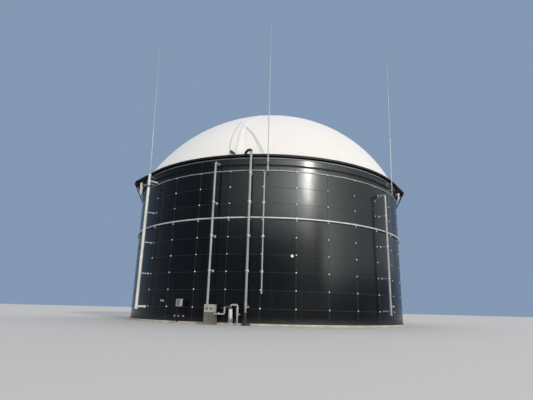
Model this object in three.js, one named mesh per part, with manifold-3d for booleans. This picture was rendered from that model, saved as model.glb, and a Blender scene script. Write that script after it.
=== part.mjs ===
// A biogas digester: a round tank of bolted enamelled steel plates under an inflated membrane roof.
// Millimetres, +Z up. The origin is on the tank's axis, at ground level.
// An azimuth is in degrees: 0 faces -Y, and it grows towards +X.
// Most fittings are drawn as if at azimuth 0, where outwards is -Y, and are then turned to their place.

import * as THREE from 'three';
import { mergeVertices } from 'three/addons/utils/BufferGeometryUtils.js';
import Module from 'manifold-3d';

const wasm = await Module();
wasm.setup();

// Driving dimensions of the tank
const PLATES_AROUND = 32;
const PLATE_LENGTH = 2400;
const PLATE_HEIGHT = 1200;
const TIERS = 10;
const PLATE_FOOT_DEPTH = 110;
const WALL_RADIUS = (PLATES_AROUND * PLATE_LENGTH) / (2 * Math.PI);
const WALL_THICKNESS = 30;
const FIRST_SEAM_AZIMUTH = -14.36;
const SEAT = 0.3;

// Levels above the ground
const SLAB_TOP = 130;
const WALL_TOP = TIERS * PLATE_HEIGHT - PLATE_FOOT_DEPTH;
const GIRDER_LEVEL = 7220;
const LOWER_STIFFENER_LEVEL = 10720;
const UPPER_STIFFENER_LEVEL = 11090;
const HEM_RAIL_LEVEL = 11660;

// Facets: two to a plate, so a plate seam always falls on a corner
const FACETS_AROUND = 2 * PLATES_AROUND;
const WALL_SEGMENTS = PLATES_AROUND / 2;
const FACETS_A_SEGMENT = FACETS_AROUND / WALL_SEGMENTS;

// Driving dimensions of the membrane roof
const DOME_FOOT_RADIUS = 12150;
const DOME_RISE = 7680;
const DOME_FOOT_LEVEL = 11990;
const DOME_LEAN = 420;
const MEMBRANE_THICKNESS = 60;

const toRadians = THREE.MathUtils.degToRad;
const PLATE_ANGLE = 360 / PLATES_AROUND;

const finishes = {
  enamel: new THREE.MeshStandardMaterial({ color: 0x11151d, roughness: 0.25, metalness: 0.1 }),
  darkSteel: new THREE.MeshStandardMaterial({ color: 0x1b1a1c, roughness: 0.45, metalness: 0.4 }),
  galvanised: new THREE.MeshStandardMaterial({ color: 0xb9bcbd, roughness: 0.45, metalness: 0.8 }),
  membrane: new THREE.MeshStandardMaterial({ color: 0xece8e2, roughness: 0.6, metalness: 0 }),
  whitePlastic: new THREE.MeshStandardMaterial({ color: 0xdcdad2, roughness: 0.5, metalness: 0 }),
  rubber: new THREE.MeshStandardMaterial({ color: 0x15161a, roughness: 0.7, metalness: 0 }),
  concrete: new THREE.MeshStandardMaterial({ color: 0x9c958a, roughness: 0.9, metalness: 0 }),
  paintedBox: new THREE.MeshStandardMaterial({ color: 0xc9c8c2, roughness: 0.5, metalness: 0.1 }),
};

const digester = new THREE.Group();

function addPiece(name, geometry, finish) {
  const piece = new THREE.Mesh(geometry, finish.clone());
  piece.name = name;
  digester.add(piece);
  return piece;
}

// Solids: a closed shell of shared corners, faced outwards, for joining and cutting
function closedShell(geometry) {
  const bare = geometry.clone();
  bare.deleteAttribute('normal');
  bare.deleteAttribute('uv');
  const shell = mergeVertices(bare, 0.001);
  const corners = shell.index.array;
  const position = shell.attributes.position;
  const triangles = [];
  let volume = 0;
  for (let i = 0; i < corners.length; i += 3) {
    const [a, b, c] = [corners[i], corners[i + 1], corners[i + 2]];
    if (a === b || b === c || c === a) continue;
    const first = new THREE.Vector3().fromBufferAttribute(position, a);
    const second = new THREE.Vector3().fromBufferAttribute(position, b);
    const third = new THREE.Vector3().fromBufferAttribute(position, c);
    volume += first.dot(second.cross(third));
    triangles.push(a, b, c);
  }
  if (volume < 0) triangles.reverse();
  shell.setIndex(triangles);
  return shell;
}

function toSolid(geometry) {
  const shell = closedShell(geometry);
  return new wasm.Manifold(
    new wasm.Mesh({
      numProp: 3,
      vertProperties: Float32Array.from(shell.attributes.position.array),
      triVerts: Uint32Array.from(shell.index.array),
    }),
  );
}

function toGeometry(solid) {
  const mesh = solid.getMesh();
  const geometry = new THREE.BufferGeometry();
  geometry.setAttribute('position', new THREE.BufferAttribute(mesh.vertProperties, 3));
  geometry.setIndex(new THREE.BufferAttribute(mesh.triVerts, 1));
  return geometry;
}

function joined(geometries) {
  return geometries.map(toSolid).reduce((whole, piece) => whole.add(piece));
}

// Basic shapes
function block(x, y, z) {
  const size = [x, y, z].map(([low, high]) => high - low);
  const middle = [x, y, z].map(([low, high]) => (low + high) / 2);
  return new THREE.BoxGeometry(...size).translate(...middle);
}

function post(radius, x, y, [low, high], sides = 12, topRadius = radius) {
  const upright = new THREE.CylinderGeometry(topRadius, radius, high - low, sides).rotateX(Math.PI / 2);
  return upright.translate(x, y, (low + high) / 2);
}

function stub(radius, x, [inner, outer], z, sides = 12) {
  const length = outer - inner;
  return new THREE.CylinderGeometry(radius, radius, length, sides).translate(x, -(inner + outer) / 2, z);
}

function turned(geometry, azimuth) {
  return geometry.rotateZ(toRadians(azimuth));
}

function ring(profile) {
  const outline = [...profile, profile[0]].map(([radius, level]) => new THREE.Vector2(radius, level));
  const phase = toRadians(FIRST_SEAM_AZIMUTH);
  return new THREE.LatheGeometry(outline, FACETS_AROUND, phase, 2 * Math.PI).rotateX(Math.PI / 2);
}

function squareRing([inner, outer], [low, high]) {
  return ring([[inner, low], [outer, low], [outer, high], [inner, high]]);
}

function disc(radius, low, high) {
  const outline = [[0, low], [radius, low], [radius, high], [0, high]];
  const points = outline.map(([r, level]) => new THREE.Vector2(r, level));
  const phase = toRadians(FIRST_SEAM_AZIMUTH);
  return new THREE.LatheGeometry(points, FACETS_AROUND, phase, 2 * Math.PI).rotateX(Math.PI / 2);
}

// A pipe's centre line, held as the stops that its sections stand on
class PipeRoute extends THREE.Curve {
  constructor(stops) {
    super();
    this.stops = stops;
  }

  getPoint(share) {
    const place = share * (this.stops.length - 1);
    const before = Math.min(Math.floor(place), this.stops.length - 2);
    return this.stops[before].clone().lerp(this.stops[before + 1], place - before);
  }

  getPointAt(share) {
    return this.getPoint(share);
  }

  getTangentAt(share) {
    const last = this.stops.length - 1;
    const here = Math.round(share * last);
    const into = this.stops[Math.max(here, 1)].clone().sub(this.stops[Math.max(here, 1) - 1]).normalize();
    const onward = this.stops[Math.min(here, last - 1) + 1].clone();
    onward.sub(this.stops[Math.min(here, last - 1)]).normalize();
    return into.add(onward).normalize();
  }
}

function bentStops(corners, bendRadius, stepsABend = 4) {
  const points = corners.map((corner) => new THREE.Vector3(...corner));
  const stops = [points[0]];
  for (let i = 1; i < points.length - 1; i += 1) {
    const into = points[i].clone().sub(points[i - 1]).normalize();
    const onward = points[i + 1].clone().sub(points[i]).normalize();
    const turn = into.angleTo(onward);
    const setBack = bendRadius * Math.tan(turn / 2);
    const start = points[i].clone().addScaledVector(into, -setBack);
    const inward = onward.clone().addScaledVector(into, -onward.dot(into)).normalize();
    for (let step = 0; step <= stepsABend; step += 1) {
      const angle = (turn * step) / stepsABend;
      const stop = start.clone().addScaledVector(into, bendRadius * Math.sin(angle));
      stops.push(stop.addScaledVector(inward, bendRadius * (1 - Math.cos(angle))));
    }
  }
  stops.push(points[points.length - 1]);
  return stops;
}

function tube(stops, radius, sides = 10) {
  const section = new THREE.Shape();
  for (let side = 0; side < sides; side += 1) {
    const angle = (2 * Math.PI * side) / sides;
    const corner = [radius * Math.cos(angle), radius * Math.sin(angle)];
    if (side === 0) section.moveTo(...corner);
    else section.lineTo(...corner);
  }
  return new THREE.ExtrudeGeometry(section, { steps: stops.length - 1, extrudePath: new PipeRoute(stops) });
}

// The outside of the wall, grown by the seat, which cuts the feet of everything fixed to it
const wallOutside = toSolid(disc(WALL_RADIUS + SEAT, -1000, WALL_TOP + 1000));

function seatedOnWall(solid, azimuth) {
  return toGeometry(toSolid(turned(toGeometry(solid), azimuth)).subtract(wallOutside));
}

// Foundation slab: the concrete floor of the tank, with a kerb just outside the wall
const KERB_WIDTH = 150;

addPiece('foundation_slab', disc(WALL_RADIUS + KERB_WIDTH, 0, SLAB_TOP), finishes.concrete);

// Tank wall: ten tiers of plates, in segments two plates wide that meet at the plate seams
function wallSegment(index) {
  const facetAngle = 360 / FACETS_AROUND;
  const jointShare = THREE.MathUtils.radToDeg(SEAT / 2 / WALL_RADIUS);
  const start = FIRST_SEAM_AZIMUTH + index * FACETS_A_SEGMENT * facetAngle;
  const azimuths = [];
  for (let facet = 0; facet <= FACETS_A_SEGMENT; facet += 1) {
    let azimuth = start + facet * facetAngle;
    if (facet === 0) azimuth += jointShare;
    if (facet === FACETS_A_SEGMENT) azimuth -= jointShare;
    azimuths.push(toRadians(azimuth));
  }
  const corner = (radius, angle) => new THREE.Vector2(radius * Math.sin(angle), -radius * Math.cos(angle));
  const arc = (radius, angles) => angles.map((angle) => corner(radius, angle));
  const outer = arc(WALL_RADIUS, azimuths);
  const inner = arc(WALL_RADIUS - WALL_THICKNESS, [...azimuths].reverse());
  const outline = new THREE.Shape([...outer, ...inner]);
  const low = SLAB_TOP + SEAT;
  const slab = new THREE.ExtrudeGeometry(outline, { depth: WALL_TOP - low, bevelEnabled: false });
  return slab.translate(0, 0, low);
}

for (let index = 0; index < WALL_SEGMENTS; index += 1) {
  const number = String(index + 1).padStart(2, '0');
  addPiece(`wall_segment_${number}`, wallSegment(index), finishes.enamel);
}

// Rim girder: a deep angle round the top of the wall, with its flange level with the wall's edge
const RIM_WIDTH = 280;
const RIM_DEPTH = 150;
const RIM_METAL = 30;
const rimInner = WALL_RADIUS + SEAT;
const rimOuter = WALL_RADIUS + RIM_WIDTH;

addPiece(
  'rim_girder',
  ring([
    [rimInner, WALL_TOP - RIM_METAL],
    [rimOuter - RIM_METAL, WALL_TOP - RIM_METAL],
    [rimOuter - RIM_METAL, WALL_TOP - RIM_DEPTH],
    [rimOuter, WALL_TOP - RIM_DEPTH],
    [rimOuter, WALL_TOP],
    [rimInner, WALL_TOP],
  ]),
  finishes.darkSteel,
);

// Hem rail: a pale flat bar round the wall, just under the rim girder
const HEM_RAIL_HEIGHT = 90;
const HEM_RAIL_WIDTH = 55;

addPiece(
  'hem_rail',
  squareRing(
    [WALL_RADIUS + SEAT, WALL_RADIUS + HEM_RAIL_WIDTH],
    [HEM_RAIL_LEVEL - HEM_RAIL_HEIGHT / 2, HEM_RAIL_LEVEL + HEM_RAIL_HEIGHT / 2],
  ),
  finishes.galvanised,
);

// Stiffeners: rolled angles bolted round the wall below the rim
function stiffener(level, width, depth, metal) {
  const inner = WALL_RADIUS + SEAT;
  return ring([
    [inner, level - depth / 2],
    [inner + metal, level - depth / 2],
    [inner + metal, level + depth / 2 - metal],
    [inner + width, level + depth / 2 - metal],
    [inner + width, level + depth / 2],
    [inner, level + depth / 2],
  ]);
}

addPiece('upper_stiffener', stiffener(UPPER_STIFFENER_LEVEL, 120, 120, 20), finishes.darkSteel);

const LOWER_STIFFENER_DEPTH = 70;
const LOWER_STIFFENER_WIDTH = 45;

addPiece(
  'lower_stiffener',
  squareRing(
    [WALL_RADIUS + SEAT, WALL_RADIUS + LOWER_STIFFENER_WIDTH],
    [LOWER_STIFFENER_LEVEL - LOWER_STIFFENER_DEPTH / 2, LOWER_STIFFENER_LEVEL + LOWER_STIFFENER_DEPTH / 2],
  ),
  finishes.galvanised,
);

// Wind girder: a pipe hoop at mid height, on a saddle at each plate seam
const HOOP_RADIUS = 57;
const HOOP_STANDOFF = 115;
const HOOP_SIDES = 6;
const SADDLE_HALF = 45;

function windGirder() {
  const centre = WALL_RADIUS + HOOP_STANDOFF;
  const section = [];
  for (let side = 0; side < HOOP_SIDES; side += 1) {
    const angle = (2 * Math.PI * side) / HOOP_SIDES;
    section.push([centre + HOOP_RADIUS * Math.cos(angle), GIRDER_LEVEL + HOOP_RADIUS * Math.sin(angle)]);
  }
  let hoop = toSolid(ring(section));
  for (let seam = 0; seam < PLATES_AROUND; seam += 1) {
    const saddle = block(
      [-SADDLE_HALF, SADDLE_HALF],
      [-centre, -WALL_RADIUS + SADDLE_HALF],
      [GIRDER_LEVEL - SADDLE_HALF, GIRDER_LEVEL + SADDLE_HALF],
    );
    hoop = hoop.add(toSolid(turned(saddle, FIRST_SEAM_AZIMUTH + seam * PLATE_ANGLE)));
  }
  return toGeometry(hoop.subtract(wallOutside));
}

addPiece('wind_girder', windGirder(), finishes.galvanised);

// Membrane roof: a cap of coated fabric, with a hem that lies on the rim girder. Its crown stands a little
// to the right of the axis, so the cap is a sphere's, sheared sideways from the hem up.
const DOME_RADIUS = (DOME_FOOT_RADIUS ** 2 + DOME_RISE ** 2) / (2 * DOME_RISE);
const DOME_CENTRE_LEVEL = DOME_FOOT_LEVEL + DOME_RISE - DOME_RADIUS;
const HEM_THICKNESS = 15;
const HEM_RADIUS = WALL_RADIUS + 150;
const DOME_FACETS = 64;

function sphereArc(radius, lowestLevel, steps) {
  const lastAngle = Math.acos((lowestLevel - DOME_CENTRE_LEVEL) / radius);
  const points = [];
  for (let step = 0; step <= steps; step += 1) {
    const angle = (lastAngle * step) / steps;
    const level = DOME_CENTRE_LEVEL + radius * Math.cos(angle);
    points.push(new THREE.Vector2(radius * Math.sin(angle), level));
  }
  points[0].x = 0;
  return points;
}

const hemTop = WALL_TOP + SEAT + HEM_THICKNESS;
const leanPerRise = DOME_LEAN / DOME_RISE;

function leaned(geometry) {
  const shear = new THREE.Matrix4().set(
    1, 0, leanPerRise, -leanPerRise * hemTop,
    0, 1, 0, 0,
    0, 0, 1, 0,
    0, 0, 0, 1,
  );
  return geometry.applyMatrix4(shear);
}

function membraneRoof() {
  const inside = sphereArc(DOME_RADIUS - MEMBRANE_THICKNESS, WALL_TOP + SEAT, 7);
  const outside = sphereArc(DOME_RADIUS, hemTop, 12).reverse();
  const hem = [new THREE.Vector2(HEM_RADIUS, WALL_TOP + SEAT), new THREE.Vector2(HEM_RADIUS, hemTop)];
  return leaned(new THREE.LatheGeometry([...inside, ...hem, ...outside], DOME_FACETS).rotateX(Math.PI / 2));
}

addPiece('membrane_roof', membraneRoof(), finishes.membrane);

// Clamp ring: the steel bar that is bolted down on the membrane's hem
const CLAMP_INNER = WALL_RADIUS + 20;
const CLAMP_OUTER = WALL_RADIUS + 110;
const CLAMP_HEIGHT = 50;
const clampFoot = WALL_TOP + HEM_THICKNESS + 2 * SEAT;

addPiece(
  'clamp_ring',
  squareRing([CLAMP_INNER, CLAMP_OUTER], [clampFoot, clampFoot + CLAMP_HEIGHT]),
  finishes.galvanised,
);

// Air duct: a low, wide fabric sleeve that runs up the roof from its foot to near the crown. Its section is
// the top of a circle whose centre lies under the membrane.
const DUCT_RADIUS = 560;
const DUCT_CENTRE_DEPTH = 440;
const DUCT_SIDES = 24;
const DUCT_PLAN = [
  [-2630, -11780],
  [-2545, -11050],
  [-2470, -10200],
  [-2350, -9450],
  [-2090, -8750],
  [-1700, -7850],
  [-1230, -6500],
  [-720, -4500],
  [-260, -2800],
];

function onDome(x, y, height = 0) {
  const radius = DOME_RADIUS + height;
  let level = hemTop;
  for (let step = 0; step < 12; step += 1) {
    const upright = x - leanPerRise * (level - hemTop);
    level = DOME_CENTRE_LEVEL + Math.sqrt(radius ** 2 - upright ** 2 - y ** 2);
  }
  return new THREE.Vector3(x, y, level);
}

function domeBody() {
  const arc = sphereArc(DOME_RADIUS + SEAT, WALL_TOP + HEM_THICKNESS, 12);
  const foot = arc[arc.length - 1];
  const underside = [new THREE.Vector2(foot.x, WALL_TOP - 500), new THREE.Vector2(0, WALL_TOP - 500)];
  return leaned(new THREE.LatheGeometry([...arc, ...underside], DOME_FACETS).rotateX(Math.PI / 2));
}

const domeOutside = toSolid(domeBody());

function airDuct() {
  const plan = new THREE.CatmullRomCurve3(DUCT_PLAN.map(([x, y]) => new THREE.Vector3(x, y, 0)));
  const stops = plan.getSpacedPoints(18).map((point) => onDome(point.x, point.y, -DUCT_CENTRE_DEPTH));
  const sleeve = toSolid(tube(stops, DUCT_RADIUS, DUCT_SIDES));
  const across = [-WALL_RADIUS - 1000, WALL_RADIUS + 1000];
  const underDome = toSolid(block(across, across, [WALL_TOP - 1500, WALL_TOP + 100]));
  return toGeometry(sleeve.subtract(domeOutside).subtract(underDome));
}

addPiece('air_duct', airDuct(), finishes.membrane);

// Lightning rods: stepped steel poles on two arms each, clear of the rim girder; two of them lean out
const ROD_RADIUS = WALL_RADIUS + 400;
const ROD_FOOT = 10490;
const ROD_TOP = 23790;
const ROD_ARM_LEVELS = [10900, 11470];
const LIGHTNING_RODS = [
  { azimuth: -53.3, lean: 1.5 },
  { azimuth: -1.7, lean: 0 },
  { azimuth: 52.75, lean: 1.1 },
  { azimuth: 135, lean: 0 },
  { azimuth: 178.3, lean: 0 },
  { azimuth: 225, lean: 0 },
];
const ROD_STEPS = [
  { top: 15640, radius: 38 },
  { top: 19640, radius: 25 },
  { top: 22540, radius: 13 },
  { top: ROD_TOP, radius: 8 },
];

function lightningRod({ azimuth, lean }) {
  const profile = [new THREE.Vector2(0, ROD_FOOT)];
  let low = ROD_FOOT;
  for (const { top, radius } of ROD_STEPS) {
    profile.push(new THREE.Vector2(radius, low), new THREE.Vector2(radius, top));
    low = top;
  }
  profile.push(new THREE.Vector2(0, ROD_TOP));
  const pivot = ROD_ARM_LEVELS[0];
  const pole = new THREE.LatheGeometry(profile, 6).rotateX(Math.PI / 2).translate(0, 0, -pivot);
  pole.rotateX(toRadians(lean)).translate(0, -ROD_RADIUS, pivot);
  const arms = ROD_ARM_LEVELS.map((level) =>
    block([-25, 25], [-ROD_RADIUS - 55, -WALL_RADIUS + 40], [level - 25, level + 25]),
  );
  return seatedOnWall(joined([pole, ...arms]), azimuth);
}

LIGHTNING_RODS.forEach((rod, index) => {
  addPiece(`lightning_rod_${index + 1}`, lightningRod(rod), finishes.galvanised);
});

// Blower plinth: a cast concrete block along the wall, with the blower's steel housing on it
const PLINTH = { azimuth: -17.75, halfWidth: 365, front: 850, back: 257, top: 786 };
const BLOWER_BOX = { left: -367, right: 317, front: 790, back: 370, top: 1278 };
const LID_THICKNESS = 40;
const LID_OVERHANG = 20;

function besideWall({ front, back }, extra = 0) {
  return [-(WALL_RADIUS + front + extra), -(WALL_RADIUS + back - extra)];
}

function blowerPlinth(extra = 0) {
  const halfWidth = PLINTH.halfWidth + extra;
  const body = block([-halfWidth, halfWidth], besideWall(PLINTH, extra), [0, PLINTH.top + extra]);
  return turned(body, PLINTH.azimuth);
}

function blowerBox() {
  const { left, right, top } = BLOWER_BOX;
  const body = block([left, right], besideWall(BLOWER_BOX), [PLINTH.top + SEAT, top - LID_THICKNESS / 2]);
  const lid = block(
    [left - LID_OVERHANG, right + LID_OVERHANG],
    besideWall(BLOWER_BOX, LID_OVERHANG),
    [top - LID_THICKNESS, top],
  );
  return turned(toGeometry(joined([body, lid])), PLINTH.azimuth);
}

addPiece('blower_plinth', blowerPlinth(), finishes.concrete);
addPiece('blower_box', blowerBox(), finishes.paintedBox);

// Wall pipes: uprights on stand-off arms. Three bend into the wall at the top, and the gas pipe is capped
// and reaches the wall by a leg below its cap.
const ARM_LEVELS = [3520, 5920, 8320];
const ARM_HALF = 30;
const COLLAR_EXTRA = 14;
const PIPE_SIDES = 8;

function armFor(pipeRadius, standoff, level) {
  const centre = WALL_RADIUS + standoff;
  const levels = [level - ARM_HALF, level + ARM_HALF];
  const arm = block([-ARM_HALF, ARM_HALF], [-centre, -WALL_RADIUS + 40], levels);
  const collar = post(pipeRadius + COLLAR_EXTRA, 0, -centre, levels, PIPE_SIDES);
  return [arm, collar];
}

function wallFlange(radius, level) {
  return stub(radius, 0, [WALL_RADIUS - 40, WALL_RADIUS + 28], level);
}

function sideBranch({ radius, reach, level, cap = 0 }, y) {
  const arm = new THREE.CylinderGeometry(radius, radius, reach, 10).rotateZ(Math.PI / 2);
  const pieces = [arm.translate(reach / 2, y, level)];
  if (cap) {
    const end = new THREE.CylinderGeometry(radius + cap, radius + cap, 2 * cap, 10).rotateZ(Math.PI / 2);
    pieces.push(end.translate(reach - cap, y, level));
  }
  return pieces;
}

function wallPipe({ azimuth, radius, standoff, bottom, top, capped = false, legs = [], branch }) {
  const y = -(WALL_RADIUS + standoff);
  const intoWall = -(WALL_RADIUS - 40);
  const pieces = [];
  if (capped) {
    pieces.push(post(radius, 0, y, [bottom, top], PIPE_SIDES));
  } else {
    const stops = bentStops([[0, y, bottom], [0, y, top], [0, intoWall, top]], 1.4 * radius);
    pieces.push(tube(stops, radius, PIPE_SIDES), wallFlange(1.5 * radius, top));
  }
  legs.forEach((leg) => {
    pieces.push(stub(leg.radius, 0, [WALL_RADIUS - 40, WALL_RADIUS + standoff], leg.level, PIPE_SIDES));
    pieces.push(wallFlange(1.5 * leg.radius, leg.level));
  });
  if (branch) pieces.push(...sideBranch(branch, y));
  ARM_LEVELS.forEach((level) => pieces.push(...armFor(radius, standoff, level)));
  return seatedOnWall(joined(pieces), azimuth);
}

const gasPipe = {
  azimuth: -50.1,
  radius: 110,
  standoff: 712,
  bottom: 850,
  top: 11490,
  capped: true,
  legs: [{ radius: 80, level: 1050 }, { radius: 65, level: 10905 }],
};
const blowerPipe = {
  azimuth: -18.9,
  radius: 75,
  standoff: 570,
  bottom: BLOWER_BOX.top + SEAT,
  top: 11275,
};
const drainPipe = {
  azimuth: -2.7,
  radius: 48,
  standoff: 280,
  bottom: 2030,
  top: 10530,
};
const feedPipe = {
  azimuth: 44.15,
  radius: 82,
  standoff: 620,
  bottom: 840,
  top: 9980,
  legs: [{ radius: 50, level: 1130 }],
  branch: { radius: 60, reach: 450, level: 1480, cap: 20 },
};

addPiece('gas_pipe', wallPipe(gasPipe), finishes.whitePlastic);
addPiece('blower_pipe', wallPipe(blowerPipe), finishes.whitePlastic);
addPiece('drain_pipe', wallPipe(drainPipe), finishes.whitePlastic);
addPiece('feed_pipe', wallPipe(feedPipe), finishes.whitePlastic);

// Overflow pipe: it passes outside the rim girder, and a hose joins its top to the roof.
// Near its foot it narrows to a flanged neck.
const OVERFLOW = { azimuth: -7.25, radius: 84, standoff: 400, top: 11970 };
const OVERFLOW_NECK = { radius: 50, bottom: 830, coneFoot: 1000, coneTop: 1065 };
const NECK_FLANGE = { radius: 88, thickness: 32 };
const OVERFLOW_TOP_ARM = 10450;
const OVERFLOW_BRANCH = { radius: 60, reach: 220, level: 1170 };

function overflowPipe() {
  const y = -(WALL_RADIUS + OVERFLOW.standoff);
  const { radius, bottom, coneFoot, coneTop } = OVERFLOW_NECK;
  const profile = [
    [0, bottom],
    [NECK_FLANGE.radius, bottom],
    [NECK_FLANGE.radius, bottom + NECK_FLANGE.thickness],
    [radius, bottom + NECK_FLANGE.thickness],
    [radius, coneFoot],
    [OVERFLOW.radius, coneTop],
    [OVERFLOW.radius, OVERFLOW.top],
    [0, OVERFLOW.top],
  ];
  const outline = profile.map(([across, level]) => new THREE.Vector2(across, level));
  const pipe = new THREE.LatheGeometry(outline, PIPE_SIDES).rotateX(Math.PI / 2).translate(0, y, 0);
  const pieces = [pipe];
  [...ARM_LEVELS, OVERFLOW_TOP_ARM].forEach((level) => {
    pieces.push(...armFor(OVERFLOW.radius, OVERFLOW.standoff, level));
  });
  pieces.push(...sideBranch(OVERFLOW_BRANCH, y));
  return seatedOnWall(joined(pieces), OVERFLOW.azimuth);
}

addPiece('overflow_pipe', overflowPipe(), finishes.whitePlastic);

// Valve stand: the dark foot valve under the overflow pipe, on splayed webs and a thick round base
// that stands a little to its right
const STAND = { neckRadius: 56, bodyRadius: 88, bodyLevels: [540, 680] };
const STAND_BASE = { radius: 243, top: 140, shift: 65 };
const STAND_WEB = { foot: 165, head: 80, top: 480, metal: 24 };

function valveStand() {
  const y = -(WALL_RADIUS + OVERFLOW.standoff);
  const top = OVERFLOW_NECK.bottom - SEAT;
  const pieces = [
    post(NECK_FLANGE.radius, 0, y, [top - NECK_FLANGE.thickness, top]),
    post(STAND.neckRadius, 0, y, [STAND_BASE.top - 10, top - 20]),
    post(STAND.bodyRadius, 0, y, STAND.bodyLevels),
    post(STAND_BASE.radius, STAND_BASE.shift, y, [0, STAND_BASE.top], 16),
  ];
  const { foot, head, top: webTop, metal } = STAND_WEB;
  const outline = [
    [-foot, STAND_BASE.top - 10],
    [foot, STAND_BASE.top - 10],
    [head, webTop],
    [-head, webTop],
  ];
  const shape = new THREE.Shape(outline.map(([across, level]) => new THREE.Vector2(across, level)));
  const web = new THREE.ExtrudeGeometry(shape, { depth: metal, bevelEnabled: false });
  web.translate(0, 0, -metal / 2).rotateX(Math.PI / 2);
  for (const turn of [45, -45]) pieces.push(web.clone().rotateZ(toRadians(turn)).translate(0, y, 0));
  return turned(toGeometry(joined(pieces)), OVERFLOW.azimuth);
}

addPiece('valve_stand', valveStand(), finishes.darkSteel);

// Hoses: two short bends of rubber hose, from the roof's foot to the rim girder and to the overflow pipe
const LEFT_HOSE_RADIUS = 86;
const RIGHT_HOSE_RADIUS = 97;
const HOSE_END_SPARE = 60;
const RIM_HOSE_CENTRE = WALL_RADIUS + 238;
const OVERFLOW_CENTRE = WALL_RADIUS + OVERFLOW.standoff;

const around = (radius, azimuth, level) => [
  radius * Math.sin(toRadians(azimuth)),
  -radius * Math.cos(toRadians(azimuth)),
  level,
];

function roofHose(radius, points, endLevel) {
  const curve = new THREE.CatmullRomCurve3(points.map((point) => new THREE.Vector3(...point)));
  const hose = toSolid(tube(curve.getSpacedPoints(16), radius));
  const span = WALL_RADIUS + 1000;
  const underEnd = block([-span, span], [-span, span], [endLevel - 500, endLevel]);
  return toGeometry(hose.subtract(domeOutside).subtract(toSolid(underEnd)));
}

const leftHoseEnd = WALL_TOP + SEAT;
const leftHosePoints = [
  around(11900, -15.2, 12340),
  around(12050, -14.95, 12300),
  around(12200, -14.5, 12220),
  around(12330, -13.9, 12110),
  around(12420, -13.35, 12005),
  around(RIM_HOSE_CENTRE, -13.0, 11930),
  around(RIM_HOSE_CENTRE, -12.9, leftHoseEnd - HOSE_END_SPARE),
];
const rightHoseEnd = OVERFLOW.top + SEAT;
const rightHosePoints = [
  around(11990, -9.65, 11980),
  around(12065, -9.6, 12030),
  around(12140, -9.5, 12105),
  around(12240, -9.2, 12172),
  around(12360, -8.7, 12200),
  around(12500, -8.0, 12198),
  around(12595, -7.5, 12155),
  around(OVERFLOW_CENTRE, OVERFLOW.azimuth, 12080),
  around(OVERFLOW_CENTRE, OVERFLOW.azimuth, rightHoseEnd - HOSE_END_SPARE),
];

addPiece('left_hose', roofHose(LEFT_HOSE_RADIUS, leftHosePoints, leftHoseEnd), finishes.rubber);
addPiece('right_hose', roofHose(RIGHT_HOSE_RADIUS, rightHosePoints, rightHoseEnd), finishes.rubber);

// Condensate group: a pot on legs, fed from the plinth, with a siphon pipe down to the ground
const POT = { x: -2564, y: -12476, radius: 115, bottom: 350, shoulder: 520, top: 1010 };
const POT_LEG = { radius: 20, offset: 10, top: 800 };
const TRANSFER = { radius: 46, low: 691, high: 1130, startX: -3700, riserX: -2962, flangeStandoff: 757 };
const SIPHON = { x: -2121, radius: 60, top: 1285, sleeveRadius: 80, sleeveLow: 560, sleeveHigh: 1150 };
const SIPHON_LEG_RADIUS = 52;
const SIPHON_FOOT = { radius: 100, thickness: 16 };
const SIPHON_DRAIN = { radius: 32, reach: 200, level: 690 };
const siphonStops = bentStops(
  [
    [POT.x, POT.y, POT.top + SEAT],
    [POT.x, POT.y, SIPHON.top],
    [SIPHON.x, POT.y, SIPHON.top],
    [SIPHON.x, POT.y, SIPHON.sleeveLow],
  ],
  110,
);

function condensatePot() {
  const { x, y, radius, bottom, shoulder, top } = POT;
  const pieces = [post(40, x, y, [bottom, shoulder], 12, radius), post(radius, x, y, [shoulder, top])];
  pieces.push(post(radius + 25, x, y, [top - 30, top]));
  for (const angle of [30, 150, 270]) {
    const legX = x + (radius + POT_LEG.offset) * Math.cos(toRadians(angle));
    const legY = y + (radius + POT_LEG.offset) * Math.sin(toRadians(angle));
    pieces.push(post(POT_LEG.radius, legX, legY, [0, POT_LEG.top], 8));
  }
  return toGeometry(joined(pieces));
}

function transferPipe() {
  const { radius, low, high, riserX, startX } = TRANSFER;
  const { x, y } = POT;
  const stops = bentStops([[startX, y, low], [riserX, y, low], [riserX, y, high], [x, y, high]], 90);
  const flange = block([PLINTH.halfWidth, PLINTH.halfWidth + 24], [-80, 80], [low - 80, low + 80]);
  flange.translate(0, -(WALL_RADIUS + TRANSFER.flangeStandoff), 0);
  const pipe = joined([tube(stops, radius), turned(flange, PLINTH.azimuth)]);
  const siphonBody = toSolid(tube(siphonStops, SIPHON.radius + SEAT, 12));
  return toGeometry(pipe.subtract(toSolid(blowerPlinth(SEAT))).subtract(siphonBody));
}

function siphonPipe() {
  const { y } = POT;
  const pieces = [tube(siphonStops, SIPHON.radius, 12)];
  pieces.push(post(SIPHON.sleeveRadius, SIPHON.x, y, [SIPHON.sleeveLow, SIPHON.sleeveHigh]));
  pieces.push(post(SIPHON_LEG_RADIUS, SIPHON.x, y, [0, SIPHON.sleeveLow + 20], 12));
  pieces.push(post(SIPHON_FOOT.radius, SIPHON.x, y, [0, SIPHON_FOOT.thickness]));
  pieces.push(...sideBranch(SIPHON_DRAIN, y).map((branch) => branch.translate(SIPHON.x, 0, 0)));
  return toGeometry(joined(pieces));
}

addPiece('condensate_pot', condensatePot(), finishes.whitePlastic);
addPiece('transfer_pipe', transferPipe(), finishes.whitePlastic);
addPiece('siphon_pipe', siphonPipe(), finishes.whitePlastic);

// Control cabinet: a small steel cabinet on top of a post, which stands on a concrete foot beside the kerb
const CABINET = { azimuth: -29.2, halfWidth: 190, back: 370, depth: 230, low: 1115, high: 1610 };
const CABINET_POST = { x: -115, half: 40, inner: 445 };
const POST_FOOT = { halfWidth: 130, outer: 580, inner: 100, top: 90 };

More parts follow.
